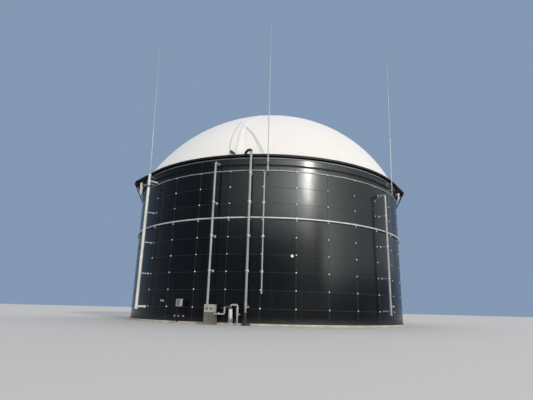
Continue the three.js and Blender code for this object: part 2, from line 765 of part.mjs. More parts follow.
function cabinetPost() {
  const { x, half, inner } = CABINET_POST;
  const rear = -(WALL_RADIUS + inner);
  const levels = [POST_FOOT.top + SEAT, CABINET.low - SEAT];
  const upright = block([x - half, x + half], [rear - 2 * half, rear], levels);
  return turned(upright, CABINET.azimuth);
}

function postFoot() {
  const { halfWidth, outer, inner, top } = POST_FOOT;
  const across = [CABINET_POST.x - halfWidth, CABINET_POST.x + halfWidth];
  const foot = block(across, [-(WALL_RADIUS + outer), -(WALL_RADIUS + inner)], [0, top]);
  const kerb = toSolid(disc(WALL_RADIUS + KERB_WIDTH + SEAT, -SEAT, SLAB_TOP));
  return toGeometry(toSolid(turned(foot, CABINET.azimuth)).subtract(kerb));
}

function controlCabinet() {
  const { halfWidth, back, depth, low, high } = CABINET;
  const rear = -(WALL_RADIUS + back);
  const body = block([-halfWidth, halfWidth], [rear - depth, rear], [low, high - 20]);
  const hood = block([-halfWidth - 12, halfWidth + 12], [rear - depth - 20, rear], [high - 30, high]);
  return turned(toGeometry(joined([body, hood])), CABINET.azimuth);
}

addPiece('post_foot', postFoot(), finishes.concrete);
addPiece('cabinet_post', cabinetPost(), finishes.darkSteel);
addPiece('control_cabinet', controlCabinet(), finishes.paintedBox);

// Nozzles: flanged stubs low on the wall, and a sampling stub above them
const NOZZLE_AZIMUTHS = [-32.6, -30.9, -28.9];
const NOZZLE = { radius: 36, reach: 70, level: 475 };
const SAMPLING_STUB = { azimuth: -38.7, radius: 50, reach: 240, level: 1490 };

function nozzle({ radius, reach, level }) {
  const pieces = [stub(radius, 0, [WALL_RADIUS - 40, WALL_RADIUS + reach], level)];
  pieces.push(stub(1.55 * radius, 0, [WALL_RADIUS + reach - 22, WALL_RADIUS + reach], level));
  pieces.push(stub(1.7 * radius, 0, [WALL_RADIUS - 40, WALL_RADIUS + 14], level));
  return joined(pieces);
}

NOZZLE_AZIMUTHS.forEach((azimuth, index) => {
  addPiece(`nozzle_${index + 1}`, seatedOnWall(nozzle(NOZZLE), azimuth), finishes.whitePlastic);
});
addPiece('sampling_stub', seatedOnWall(nozzle(SAMPLING_STUB), SAMPLING_STUB.azimuth), finishes.whitePlastic);

// Relief valves: each is a pot on a gas pipe from the top tier, by a small deck on a pair of knee brackets
const BRACKET_TOP = WALL_TOP - 60;
const BRACKET_BAR = 34;
const DECK_THICKNESS = 40;
const RELIEF_PIPE_LEVEL = 11370;
const RELIEF_TOP = 11510;
const RELIEF_FLANGE = 25;
const decks = {
  left: { azimuth: -69.6, reach: 865, drop: 1630, halfWidth: 420, spread: 15.6 },
  right: { azimuth: 74.5, reach: 775, drop: 1345, halfWidth: 330, spread: 17.5 },
};
const reliefPots = {
  left: { azimuth: -63.5, radius: 130, standoff: 420, tip: 10420, shoulder: 10640 },
  right: { azimuth: 68, radius: 90, standoff: 270, tip: 10870, shoulder: 11020 },
};
const rimSpace = toSolid(disc(rimOuter + SEAT, WALL_TOP - RIM_DEPTH - SEAT, WALL_TOP + 100));

function bar(from, to) {
  return tube([new THREE.Vector3(...from), new THREE.Vector3(...to)], BRACKET_BAR, 4);
}

function reliefBracket({ azimuth, reach, drop, halfWidth, spread }) {
  const inner = -(WALL_RADIUS - 30);
  const outer = -(WALL_RADIUS + reach);
  const rimX = rimOuter * Math.sin(toRadians(spread));
  const rimY = -rimOuter * Math.cos(toRadians(spread));
  const pieces = [];
  for (const side of [-1, 1]) {
    const x = side * halfWidth;
    const middle = -(WALL_RADIUS + reach / 2);
    pieces.push(bar([x, inner, BRACKET_TOP], [x, outer, BRACKET_TOP]));
    pieces.push(bar([x, outer + 40, BRACKET_TOP], [x, inner, BRACKET_TOP - drop]));
    pieces.push(bar([x, middle, BRACKET_TOP], [x, middle, BRACKET_TOP - drop / 2]));
    pieces.push(bar([x, outer + 20, BRACKET_TOP], [side * rimX, rimY, BRACKET_TOP]));
  }
  pieces.push(bar([-halfWidth, outer + 20, BRACKET_TOP], [halfWidth, outer + 20, BRACKET_TOP]));
  const corners = [[-halfWidth, outer], [halfWidth, outer], [rimX, rimY], [-rimX, rimY]];
  const outline = new THREE.Shape(corners.map(([x, y]) => new THREE.Vector2(x, y)));
  const deck = new THREE.ExtrudeGeometry(outline, { depth: DECK_THICKNESS, bevelEnabled: false });
  pieces.push(deck.translate(0, 0, WALL_TOP - DECK_THICKNESS));
  const bracket = toSolid(turned(toGeometry(joined(pieces)), azimuth));
  return toGeometry(bracket.subtract(wallOutside).subtract(rimSpace));
}

function reliefValve({ azimuth, radius, standoff, tip, shoulder }) {
  const y = -(WALL_RADIUS + standoff);
  const pipeRadius = 0.55 * radius;
  const pieces = [
    post(0.45 * radius, 0, y, [tip, shoulder], 12, radius),
    post(radius, 0, y, [shoulder, RELIEF_TOP]),
    post(radius + RELIEF_FLANGE, 0, y, [RELIEF_TOP - RELIEF_FLANGE, RELIEF_TOP]),
    stub(pipeRadius, 0, [WALL_RADIUS - 40, WALL_RADIUS + standoff], RELIEF_PIPE_LEVEL),
    wallFlange(1.5 * pipeRadius, RELIEF_PIPE_LEVEL),
  ];
  return seatedOnWall(joined(pieces), azimuth);
}

for (const side of ['left', 'right']) {
  addPiece(`relief_bracket_${side}`, reliefBracket(decks[side]), finishes.darkSteel);
  addPiece(`relief_valve_${side}`, reliefValve(reliefPots[side]), finishes.whitePlastic);
}

export default digester;
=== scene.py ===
import random
from math import acos, cos, degrees, exp, pi, radians, sin, sqrt, tan

import bmesh
import bpy
from mathutils import Matrix, Vector


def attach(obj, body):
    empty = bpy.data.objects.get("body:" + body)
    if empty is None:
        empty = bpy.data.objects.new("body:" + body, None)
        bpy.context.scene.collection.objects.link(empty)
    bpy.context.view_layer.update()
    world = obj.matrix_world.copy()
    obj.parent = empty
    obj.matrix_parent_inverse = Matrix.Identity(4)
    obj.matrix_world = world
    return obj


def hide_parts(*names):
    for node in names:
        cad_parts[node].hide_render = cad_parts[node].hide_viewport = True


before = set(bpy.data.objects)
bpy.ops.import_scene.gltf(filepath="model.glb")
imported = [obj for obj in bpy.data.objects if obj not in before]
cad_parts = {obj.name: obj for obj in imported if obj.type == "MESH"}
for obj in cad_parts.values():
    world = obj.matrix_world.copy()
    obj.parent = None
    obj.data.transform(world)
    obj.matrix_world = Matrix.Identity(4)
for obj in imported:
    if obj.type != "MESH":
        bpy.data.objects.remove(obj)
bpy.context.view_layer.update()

# Studio: a wide pale floor under an even blue-grey surround. A low key lamp stands to the right of
# the camera, three soft lamps fill the sides and the back, and an arc of panels makes the sheen.
PHOTO_WIDTH = 533
FOCAL_PIXELS = 406.86
CAMERA_PLACE = (-0.669, -39.954, 1.005)
CAMERA_YAW = radians(0.548)
CAMERA_PITCH = radians(15.141)
CAMERA_ROLL = radians(1.446)

camera_data = bpy.data.cameras.new("camera")
camera_data.sensor_width = 36
camera_data.lens = camera_data.sensor_width * FOCAL_PIXELS / PHOTO_WIDTH
camera_data.clip_end = 5000
camera = bpy.data.objects.new("camera", camera_data)
bpy.context.scene.collection.objects.link(camera)
bpy.context.scene.camera = camera
level_right = Vector((cos(CAMERA_YAW), -sin(CAMERA_YAW), 0))
ahead = Vector((sin(CAMERA_YAW), cos(CAMERA_YAW), tan(CAMERA_PITCH))).normalized()
level_up = level_right.cross(ahead)
right = level_right * cos(CAMERA_ROLL) + level_up * sin(CAMERA_ROLL)
axes = Matrix((right, right.cross(ahead), -ahead)).transposed()
camera.matrix_world = Matrix.Translation(CAMERA_PLACE) @ axes.to_4x4()


def towards(azimuth, elevation):
    """A unit vector. Azimuth 0 points to -Y and grows towards +X, both angles in degrees."""
    turn, rise = radians(azimuth), radians(elevation)
    return Vector((sin(turn) * cos(rise), -cos(turn) * cos(rise), sin(rise)))


def lamp(name, kind, azimuth, elevation, distance=80, target=(0, 0, 8)):
    light = bpy.data.objects.new(name, bpy.data.lights.new(name, kind))
    bpy.context.scene.collection.objects.link(light)
    light.location = Vector(target) + distance * towards(azimuth, elevation)
    light.rotation_mode = "QUATERNION"
    light.rotation_quaternion = (-towards(azimuth, elevation)).to_track_quat("-Z", "Y")
    return light


key = lamp("key_lamp", "SUN", 31.6, 20.4)
key.data.energy = 2.0
key.data.angle = radians(3.5)
key.data.color = (1.0, 0.95, 0.88)

PANELS = 20
FIRST_PANEL = -48
PANEL_STEP = 9
PANEL_DISTANCE = 62
PANEL_WIDTH = 9.4
PANEL_TOP = 40
HIGH_FOOT = 21.4
LOW_FOOT = 8.5
LOW_FOOT_FROM = 46
SHEEN_AZIMUTH = 26
SHEEN_SPREAD = 30
SHEEN_PEAK = 16
SHEEN_BASE = 0.3
for number in range(PANELS):
    azimuth = FIRST_PANEL + PANEL_STEP * number
    foot = HIGH_FOOT if azimuth < LOW_FOOT_FROM else LOW_FOOT
    away = abs(azimuth - SHEEN_AZIMUTH) / SHEEN_SPREAD
    radiance = SHEEN_PEAK * exp(-(away**1.3)) + SHEEN_BASE
    middle = (0, -12, (PANEL_TOP + foot) / 2)
    panel = lamp(f"sheen_panel_{number + 1}", "AREA", azimuth, 0, PANEL_DISTANCE, middle)
    panel.data.shape = "RECTANGLE"
    panel.data.size = PANEL_WIDTH
    panel.data.size_y = PANEL_TOP - foot
    panel.data.energy = radiance * pi * PANEL_WIDTH * (PANEL_TOP - foot)
    panel.data.color = (0.93, 1.0, 0.95)
    panel.visible_camera = False
    panel.visible_diffuse = False

for name, azimuth, elevation, strength, spread in [
    ("left_fill", -50, 30, 0.72, 90),
    ("top_fill", 0, 80, 0.4, 120),
    ("back_fill", 160, 35, 1.2, 90),
]:
    fill = lamp(name, "SUN", azimuth, elevation)
    fill.data.energy = strength
    fill.data.angle = radians(spread)
    fill.data.color = (1.0, 0.97, 0.93)
    fill.visible_glossy = False

surround = bpy.data.worlds.new("surround")
surround.use_nodes = True
surround.node_tree.nodes["Background"].inputs["Color"].default_value = (0.23, 0.315, 0.455, 1)
surround.node_tree.nodes["Background"].inputs["Strength"].default_value = 1.0
bpy.context.scene.world = surround
bpy.context.scene.view_settings.view_transform = "Standard"


class Tone:
    """A value in a finish's nodes. Arithmetic on it adds Math nodes."""

    def __init__(self, finish, socket):
        self.finish = finish
        self.socket = socket

    def math(self, operation, other=0.0, swapped=False):
        terms = (other, self) if swapped else (self, other)
        return self.finish.node("Math", {"operation": operation}, dict(enumerate(terms)))

    def __add__(self, other):
        return self.math("ADD", other)

    def __sub__(self, other):
        return self.math("SUBTRACT", other)

    def __rsub__(self, other):
        return self.math("SUBTRACT", other, swapped=True)

    def __mul__(self, other):
        return self.math("MULTIPLY", other)

    def __truediv__(self, other):
        return self.math("DIVIDE", other)

    __radd__ = __add__
    __rmul__ = __mul__

    def band(self, low, high):
        """Runs smoothly from 0 at low to 1 at high, where low may be the larger."""
        settings = {"interpolation_type": "SMOOTHSTEP"}
        return self.finish.node("MapRange", settings, {"Value": self, "From Min": low, "From Max": high})


class Finish:
    """A material of the object: noises, tints and bumps that end in its shader."""

    def __init__(self, name, **constants):
        self.material = bpy.data.materials.new(name)
        self.material.use_nodes = True
        self.tree = self.material.node_tree
        self.shader = self.tree.nodes["Principled BSDF"]
        for socket, value in constants.items():
            self.shader.inputs[socket.replace("_", " ")].default_value = value
        self.place = self.node("TexCoord", output="Object")

    def node(self, kind, settings=None, inputs=None, output=0):
        made = self.tree.nodes.new("ShaderNode" + kind)
        for setting, value in (settings or {}).items():
            setattr(made, setting, value)
        for socket, value in (inputs or {}).items():
            if isinstance(value, Tone):
                self.tree.links.new(value.socket, made.inputs[socket])
            else:
                made.inputs[socket].default_value = value
        return Tone(self, made.outputs[output])

    def axes(self):
        return [self.node("SeparateXYZ", inputs={0: self.place}, output=axis) for axis in "XYZ"]

    def stretched(self, scale):
        return self.node("VectorMath", {"operation": "MULTIPLY"}, {0: self.place, 1: scale})

    def noise(self, scale, detail=3.0, vector=None):
        inputs = {"Vector": vector or self.place, "Scale": scale, "Detail": detail}
        return self.node("TexNoise", inputs=inputs)

    def cells(self, scale, output="Distance"):
        return self.node("TexVoronoi", inputs={"Vector": self.place, "Scale": scale}, output=output)

    def tint(self, amount, first, second):
        colours = [c if isinstance(c, Tone) else (*c, 1) for c in (first, second)]
        inputs = {0: amount, 6: colours[0], 7: colours[1]}
        return self.node("Mix", {"data_type": "RGBA"}, inputs, output=2)

    def bump(self, height, distance, under=None):
        inputs = {"Height": height, "Distance": distance}
        if under:
            inputs["Normal"] = under
        return self.node("Bump", inputs=inputs)

    def wear(self, **links):
        for socket, tone in links.items():
            self.tree.links.new(tone.socket, self.shader.inputs[socket.replace("_", " ")])
        return self


floor_finish = Finish("floor_paint", Roughness=0.9)
floor_tint = floor_finish.tint(floor_finish.noise(0.05), (0.53, 0.49, 0.44), (0.6, 0.56, 0.51))
floor_finish.wear(Base_Color=floor_tint)
bpy.ops.mesh.primitive_circle_add(vertices=96, radius=1500, fill_type="NGON")
floor = bpy.context.object
floor.name = "floor"
floor.data.materials.append(floor_finish.material)

# Foundation slab: cast concrete under the whole tank, with a kerb that shows just outside the wall.
# Its edge is chamfered, rain has washed it pale, and red earth has splashed up on it.
WALL_RADIUS = 12.2231
SLAB_TOP = 0.13
KERB_RADIUS = WALL_RADIUS + 0.15
KERB_CHAMFER = 0.012


def circle(radius, count, start=0.0):
    """Points round a circle, the first one this share of a step along."""
    turns = [2 * pi * (i + start) / count for i in range(count)]
    return [(radius * cos(turn), radius * sin(turn)) for turn in turns]


class Form:
    """Points and faces of a piece in metres, before it becomes an object."""

    def __init__(self):
        self.points = []
        self.faces = []

    def skin(self, rows, place=Matrix(), looped=False):
        """Joins rows of points, each a closed loop. The end rows are capped, or joined when looped."""
        first, count = len(self.points), len(rows[0])
        self.points += [place @ Vector(point) for row in rows for point in row]
        for row in range(len(rows) if looped else len(rows) - 1):
            here, there = first + row * count, first + (row + 1) % len(rows) * count
            for i in range(count):
                j = (i + 1) % count
                self.faces.append((here + i, here + j, there + j, there + i))
        if not looped:
            self.faces.append(tuple(reversed(range(first, first + count))))
            self.faces.append(tuple(range(len(self.points) - count, len(self.points))))

    def hoop(self, profile, level=0.0, steps=256, low=0.0, high=360.0, radius=WALL_RADIUS):
        """Sweeps a closed profile round the tank between two azimuths.

        The profile is drawn from the wall's radius and the level: (outwards, upwards).
        """
        whole = high - low >= 360
        rows = []
        for step in range(steps if whole else steps + 1):
            turn = radians(low + (high - low) * step / steps)
            points = [(radius + out, level + up) for out, up in profile]
            rows.append([(r * sin(turn), -r * cos(turn), z) for r, z in points])
        self.skin(rows, looped=whole)

    def spun(self, profile, sides=24, place=Matrix()):
        """Turns a profile of (radius, height) on the Z axis of its place, with flat ends."""
        self.skin([[(*point, z) for point in circle(r, sides)] for r, z in profile], place)

    def pipe(self, path, radius, sides=16, place=Matrix()):
        """Runs a round pipe along a path. The radius is one number, or one for each point."""
        path = [Vector(point) for point in path]
        radii = radius if hasattr(radius, "__len__") else [radius] * len(path)
        across = None
        rows = []
        for i, point in enumerate(path):
            along = (path[min(i + 1, len(path) - 1)] - path[max(i - 1, 0)]).normalized()
            if across is None:
                across = along.orthogonal().normalized()
            across = (across - along * across.dot(along)).normalized()
            other = along.cross(across)
            rows.append([point + across * a + other * b for a, b in circle(radii[i], sides)])
        self.skin(rows, place)

    def block(self, x, y, z, chamfer=0.004, place=Matrix()):
        """A chamfered block between two limits on each axis."""
        (x0, x1), (y0, y1), (z0, z1) = x, y, z

        def outline(inset, level):
            a, b = chamfer + inset, inset
            corners = [(x0 + a, y0 + b), (x1 - a, y0 + b), (x1 - b, y0 + a), (x1 - b, y1 - a)]
            corners += [(x1 - a, y1 - b), (x0 + a, y1 - b), (x0 + b, y1 - a), (x0 + b, y0 + a)]
            return [(*corner, level) for corner in corners]

        middle = [outline(0, z0 + chamfer), outline(0, z1 - chamfer)]
        self.skin([outline(chamfer, z0), *middle, outline(chamfer, z1)], place)

    def piece(self, name, finish, slot, *nodes):
        """Makes the object. It rides on the tank and stands for the named CAD nodes."""
        mesh = bpy.data.meshes.new(name)
        mesh.from_pydata([tuple(point) for point in self.points], [], self.faces)
        shape = bmesh.new()
        shape.from_mesh(mesh)
        bmesh.ops.recalc_face_normals(shape, faces=shape.faces)
        shape.to_mesh(mesh)
        shape.free()
        mesh.shade_smooth()
        mesh.set_sharp_from_angle(angle=radians(35))
        mesh.materials.append(finish.material)
        made = bpy.data.objects.new(name, mesh)
        bpy.context.scene.collection.objects.link(made)
        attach(made, "root")
        if nodes:
            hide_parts(*nodes)
        return made


def cast_concrete(name, light, dark, splash_height):
    finish = Finish(name, Roughness=0.88)
    height = finish.axes()[2]
    cloud = finish.noise(0.9, 6).band(0.35, 0.68)
    grain = finish.noise(45, 4)
    splash = (height + 0.25 * finish.noise(3.0, 5) - 0.12).band(splash_height, 0.0)
    washed = finish.tint(cloud * 0.8 + grain * 0.2, dark, light)
    runs = finish.noise(8.0, 5, finish.stretched((1, 1, 0.1))).band(0.5, 0.7)
    stained = finish.tint(runs * 0.7, washed, dark)
    pores = finish.cells(38).band(0.16, 0.05)
    return finish.wear(
        Base_Color=finish.tint(splash * 0.3, stained, (0.36, 0.22, 0.13)),
        Roughness=0.8 + 0.15 * cloud,
        Normal=finish.bump(grain * 0.4 - pores, 0.006),
    )


slab_concrete = cast_concrete("slab_concrete", (0.62, 0.56, 0.47), (0.4, 0.35, 0.29), 0.12)
kerb = [(-KERB_CHAMFER / 2, 0), (0, 0.02), (0, SLAB_TOP - KERB_CHAMFER), (-KERB_CHAMFER, SLAB_TOP)]
slab = Form()
slab.spun([(KERB_RADIUS + inset, level) for inset, level in kerb], 256)
slab.piece("foundation_slab_cast", slab_concrete, "concrete", "foundation_slab")

# Tank wall: ten tiers of 32 rolled steel plates with fired glass enamel, blue-black and glossy.
# Each plate laps over the one to its right and the one below, on sealant, and is bolted through.
PLATES_AROUND = 32
PLATE_ANGLE = 360 / PLATES_AROUND
PLATE_HEIGHT = 1.2
TIERS = 10
FIRST_SEAM = -14.36
FOOT_DEPTH = 0.11
WALL_TOP = 11.89
LAP = 0.07
LAP_ANGLE = degrees(LAP / WALL_RADIUS)
LAP_LIFT = 0.007
PLATE_METAL = 0.006
PLATE_FACE = 0.0155
BOLT_PITCH = 0.1
BOLTS_A_LAP = 24
SEAM_BOLT_OFFSET = degrees(0.02 / WALL_RADIUS)

enamel = Finish("blue_black_enamel", Specular_IOR_Level=0.18)
x, y, z = enamel.axes()
seam_count = (x.math("ARCTAN2", y * -1) * (180 / pi) - FIRST_SEAM) / PLATE_ANGLE
tier_count = (z + FOOT_DEPTH) / PLATE_HEIGHT
plate_number = enamel.node("CombineXYZ", inputs={0: seam_count.math("FLOOR"), 1: tier_count.math("FLOOR")})
plate_shade = enamel.node("TexWhiteNoise", {"noise_dimensions": "3D"}, {"Vector": plate_number})
rain = enamel.noise(2.2, 5, enamel.stretched((1, 1, 0.09)))
film = rain.band(0.5, 0.8) * 0.25 + (z + 1.2 * rain).band(1.5, 0.3) * 0.35
foot_dust = (z + 0.3 * enamel.noise(2.0, 5)).band(0.75, 0.12)
fired = enamel.tint(plate_shade, (0.0022, 0.0027, 0.003), (0.0036, 0.0044, 0.005))
filmed = enamel.tint(film * 0.1, fired, (0.09, 0.09, 0.085))
sag = enamel.noise(0.55, 2, enamel.stretched((1, 1, 0.6)))
peel = enamel.bump(enamel.noise(70, 2), 0.0002)
enamel.wear(
    Base_Color=enamel.tint(foot_dust * 0.12, filmed, (0.2, 0.15, 0.11)),
    Roughness=0.19 + 0.02 * plate_shade + 0.1 * film + 0.3 * foot_dust,
    Normal=enamel.bump(sag + plate_shade * 0.02, 0.02, peel),
)


def at(x, y, z):
    return Matrix.Translation((x, y, z))


def rotated(place, angle):
    """The place, turned on its own Z axis by an angle in degrees."""
    return place @ Matrix.Rotation(radians(angle), 4, "Z")


def on_wall(azimuth, standoff=0.0, level=0.0):
    """A place off the wall: X runs along it to the right, -Y points outwards and Z is up."""
    return rotated(Matrix(), azimuth) @ at(0, -WALL_RADIUS - standoff, level)


UPWARD = Matrix()
OUTWARD = Matrix.Rotation(radians(90), 4, "X")
SIDEWAYS = Matrix.Rotation(radians(90), 4, "Y")


def seam_azimuth(plate):
    return FIRST_SEAM + plate * PLATE_ANGLE


def seam_level(tier):
    return tier * PLATE_HEIGHT - FOOT_DEPTH


def lapped_plate(form, column, tier):
    left = seam_azimuth(column) - LAP_ANGLE / 2
    low = max(seam_level(tier) - LAP / 2, SLAB_TOP + 0.0003)
    high = min(seam_level(tier + 1) + LAP / 2, WALL_TOP)
    steps = 10
    rows = []
    for step in range(steps + 1):
        turn = radians(left + (PLATE_ANGLE + LAP_ANGLE) * step / steps)
        foot = WALL_RADIUS + LAP_LIFT * (2 - step / steps)
        outside = [(foot, low), (foot - LAP_LIFT / 2, (low + high) / 2), (foot - LAP_LIFT, high)]
        inside = [(r - PLATE_METAL, level) for r, level in reversed(outside)]
        rows.append([(r * sin(turn), -r * cos(turn), level) for r, level in outside + inside])
    form.skin(rows)


for segment in range(PLATES_AROUND // 2):
    plates = Form()
    for column in (2 * segment, 2 * segment + 1):
        for tier in range(TIERS):
            lapped_plate(plates, column, tier)
    number = f"{segment + 1:02d}"
    plates.piece(f"wall_plates_{number}", enamel, "enamelled_steel", f"wall_segment_{number}")


def round_profile(centre, radius, sides):
    return [(centre + out, up) for out, up in circle(radius, sides)]


sealant = Finish("seam_sealant")
sealant.wear(
    Roughness=0.55 + 0.2 * sealant.noise(12),
    Base_Color=sealant.tint(sealant.noise(6, 4), (0.008, 0.008, 0.009), (0.03, 0.029, 0.027)),
)
BEAD_RADIUS = 0.008
BEAD_STEPS = 39
random.seed(7)
beads = Form()
for column in range(PLATES_AROUND):
    edge = on_wall(seam_azimuth(column) - LAP_ANGLE / 2, 0.006)
    path = []
    for step in range(BEAD_STEPS + 1):
        level = SLAB_TOP + 0.01 + (WALL_TOP - SLAB_TOP - 0.02) * step / BEAD_STEPS
        path.append(edge @ Vector((random.uniform(-0.0012, 0.0012), 0, level)))
    beads.pipe(path, BEAD_RADIUS, 6)
for tier in range(1, TIERS):
    beads.hoop(round_profile(BEAD_RADIUS, BEAD_RADIUS, 6), seam_level(tier) - LAP / 2, 192)
beads.hoop([(0, 0), (0.04, 0), (0.012, 0.03)], SLAB_TOP)
beads.piece("seam_sealant_beads", sealant, "rubber_hose")

bolt_steel = Finish("coated_bolt_caps", Roughness=0.4)
bolt_steel.wear(Base_Color=bolt_steel.tint(bolt_steel.noise(4), (0.02, 0.022, 0.027), (0.06, 0.062, 0.066)))


def capped_bolt(form, azimuth, standoff, level):
    form.spun([(0.014, 0), (0.012, 0.007), (0.006, 0.011)], 6, on_wall(azimuth, standoff, level) @ OUTWARD)


QUARTER = PLATES_AROUND // 4
for quarter in range(4):
    bolts = Form()
    for column in range(QUARTER * quarter, QUARTER * (quarter + 1)):
        seam = seam_azimuth(column)
        for row in range(int((WALL_TOP - SLAB_TOP - 0.1) / BOLT_PITCH)):
            for side in (-SEAM_BOLT_OFFSET, SEAM_BOLT_OFFSET):
                capped_bolt(bolts, seam + side, 0.0075 + LAP_LIFT * 0.6, SLAB_TOP + 0.08 + row * BOLT_PITCH)
        for tier in range(1, TIERS):
            for place in range(1, BOLTS_A_LAP):
                share = place / BOLTS_A_LAP
                standoff = LAP_LIFT * (1.5 - share) + 0.001
                capped_bolt(bolts, seam + PLATE_ANGLE * share, standoff, seam_level(tier))
    bolts.piece(f"wall_bolts_{quarter + 1}", bolt_steel, "enamelled_steel")

# Corner caps: a white moulded cap is pressed on the sealant wherever four plates meet.
# One larger blank flange closes a hole in the fourth tier, to the right of the middle.
white_cap = Finish("white_moulding", Roughness=0.45)
yellowed = white_cap.noise(3.1, 5).band(0.4, 0.75)
white_cap.wear(Base_Color=white_cap.tint(yellowed, (0.86, 0.86, 0.83), (0.6, 0.58, 0.52)))
CAP = [(0.048, 0), (0.048, 0.01), (0.041, 0.022), (0.026, 0.031), (0.01, 0.034)]
BLANK = [(0.1, 0), (0.1, 0.018), (0.095, 0.022), (0.06, 0.022), (0.06, 0.05), (0.05, 0.058)]
corner_caps = Form()
for column in range(PLATES_AROUND):
    for tier in range(1, TIERS):
        corner_caps.spun(CAP, 14, on_wall(seam_azimuth(column), 0.012, seam_level(tier)) @ OUTWARD)
corner_caps.spun(BLANK, 28, on_wall(6.8, 0.005, 4.61) @ OUTWARD)
corner_caps.piece("corner_caps", white_cap, "white_pipe")

# Rim girder: dark painted steel angle round the wall's top, in bolted lengths on small gussets.
# Under it runs a flat zinc-coated rail, bolted through the top tier.
dark_paint = Finish("dark_steel_paint", Specular_IOR_Level=0.15)
scuffs = dark_paint.noise(7, 6).band(0.6, 0.78)
dark_paint.wear(
    Base_Color=dark_paint.tint(scuffs * 0.6, (0.01, 0.009, 0.01), (0.05, 0.036, 0.03)),
    Roughness=0.5 + 0.22 * scuffs,
    Normal=dark_paint.bump(dark_paint.noise(55, 3), 0.0008),
)
RIM_REACH = 0.28
RIM_METAL = 0.03
RIM_SECTION = [
    (0.0085, -RIM_METAL), (RIM_REACH - RIM_METAL, -RIM_METAL), (RIM_REACH - RIM_METAL, -0.15),
    (RIM_REACH, -0.15), (RIM_REACH, -0.012), (RIM_REACH - 0.004, -0.003), (RIM_REACH - 0.012, 0), (0.0085, 0),
]
GUSSETS = 2 * PLATES_AROUND
GUSSET = [(-0.016, -0.002), (-0.245, -0.002), (-0.245, -0.04), (-0.03, -0.115), (-0.016, -0.115)]


def hex_bolt(form, place, size=0.012):
    """A washer and a hexagon head that stand on the +Z side of their place."""
    form.spun([(1.15 * size, 0), (1.15 * size, 0.25 * size)], 12, place)
    form.spun([(0.92 * size, 0.25 * size), (0.92 * size, 0.95 * size), (0.75 * size, 1.1 * size)], 6, place)


def face_bolts(form, place, across, depth, levels, size=0.012):
    """Bolts that face outwards, at each of the offsets across on each of the levels."""
    for x in across:
        for level in levels:
            hex_bolt(form, place @ at(x, -depth, level) @ OUTWARD, size)


rim = Form()
rim.hoop(RIM_SECTION, WALL_TOP)
for number in range(GUSSETS):
    azimuth = FIRST_SEAM + (number + 0.5) * 360 / GUSSETS
    rows = [[(x, y, level) for y, level in GUSSET] for x in (-0.006, 0.006)]
    rim.skin(rows, on_wall(azimuth, 0, WALL_TOP - RIM_METAL))
for number in range(PLATES_AROUND):
    place = on_wall(seam_azimuth(number + 0.5), RIM_REACH, WALL_TOP)
    rim.block((-0.17, 0.17), (-0.012, 0.001), (-0.135, -0.02), 0.003, place)
    face_bolts(rim, place, (-0.13, -0.05, 0.05, 0.13), 0.012, (-0.11, -0.045), 0.011)
rim.piece("rim_girder_angle", dark_paint, "dark_steel", "rim_girder")


def zinc(name, light, dark, roughness):
    """Hot-dip zinc: dull spangle cells, darker runs and a few rust freckles."""
    finish = Finish(name, Metallic=0.3)
    grey = finish.node("SeparateColor", inputs={0: finish.cells(28, "Color")})
    runs = finish.noise(1.7, 5, finish.stretched((1, 1, 0.3))).band(0.45, 0.75)
    freckles = finish.noise(23, 6).band(0.69, 0.76)
    spangled = finish.tint(grey * 0.5 + runs * 0.4, light, dark)
    return finish.wear(
        Base_Color=finish.tint(freckles * 0.5, spangled, (0.22, 0.1, 0.045)),
        Roughness=roughness + 0.12 * grey,
        Normal=finish.bump(finish.noise(30), 0.001),
    )


bright_zinc = zinc("bright_zinc", (0.6, 0.6, 0.59), (0.38, 0.39, 0.4), 0.45)
dull_zinc = zinc("dull_zinc", (0.27, 0.27, 0.262), (0.155, 0.155, 0.155), 0.55)


def bar_ring(profile, level, gap, bolts, standoff, rise, facing):
    """Bars end to end round the wall, one to a plate, each with a row of bolts."""
    form = Form()
    for number in range(PLATES_AROUND):
        start = seam_azimuth(number) + gap
        form.hoop(profile, level, 10, start, start + PLATE_ANGLE - 2 * gap)
        for bolt in range(bolts):
            azimuth = start + PLATE_ANGLE * (bolt + 0.5) / bolts
            hex_bolt(form, on_wall(azimuth, standoff, level + rise) @ facing, 0.013)
    return form


def flat_bar(outer, half, edge):
    """The section of a bar that lies against the plates, with its outer edges broken."""
    lower = [(0.0145, -half), (outer - edge, -half), (outer, edge - half)]
    return [*lower, *((out, -up) for out, up in reversed(lower))]


rail = bar_ring(flat_bar(0.055, 0.045, 0.004), 11.66, 0.03, 6, 0.055, 0, OUTWARD)
rail.piece("hem_rail_bars", dull_zinc, "galvanised_steel", "hem_rail")

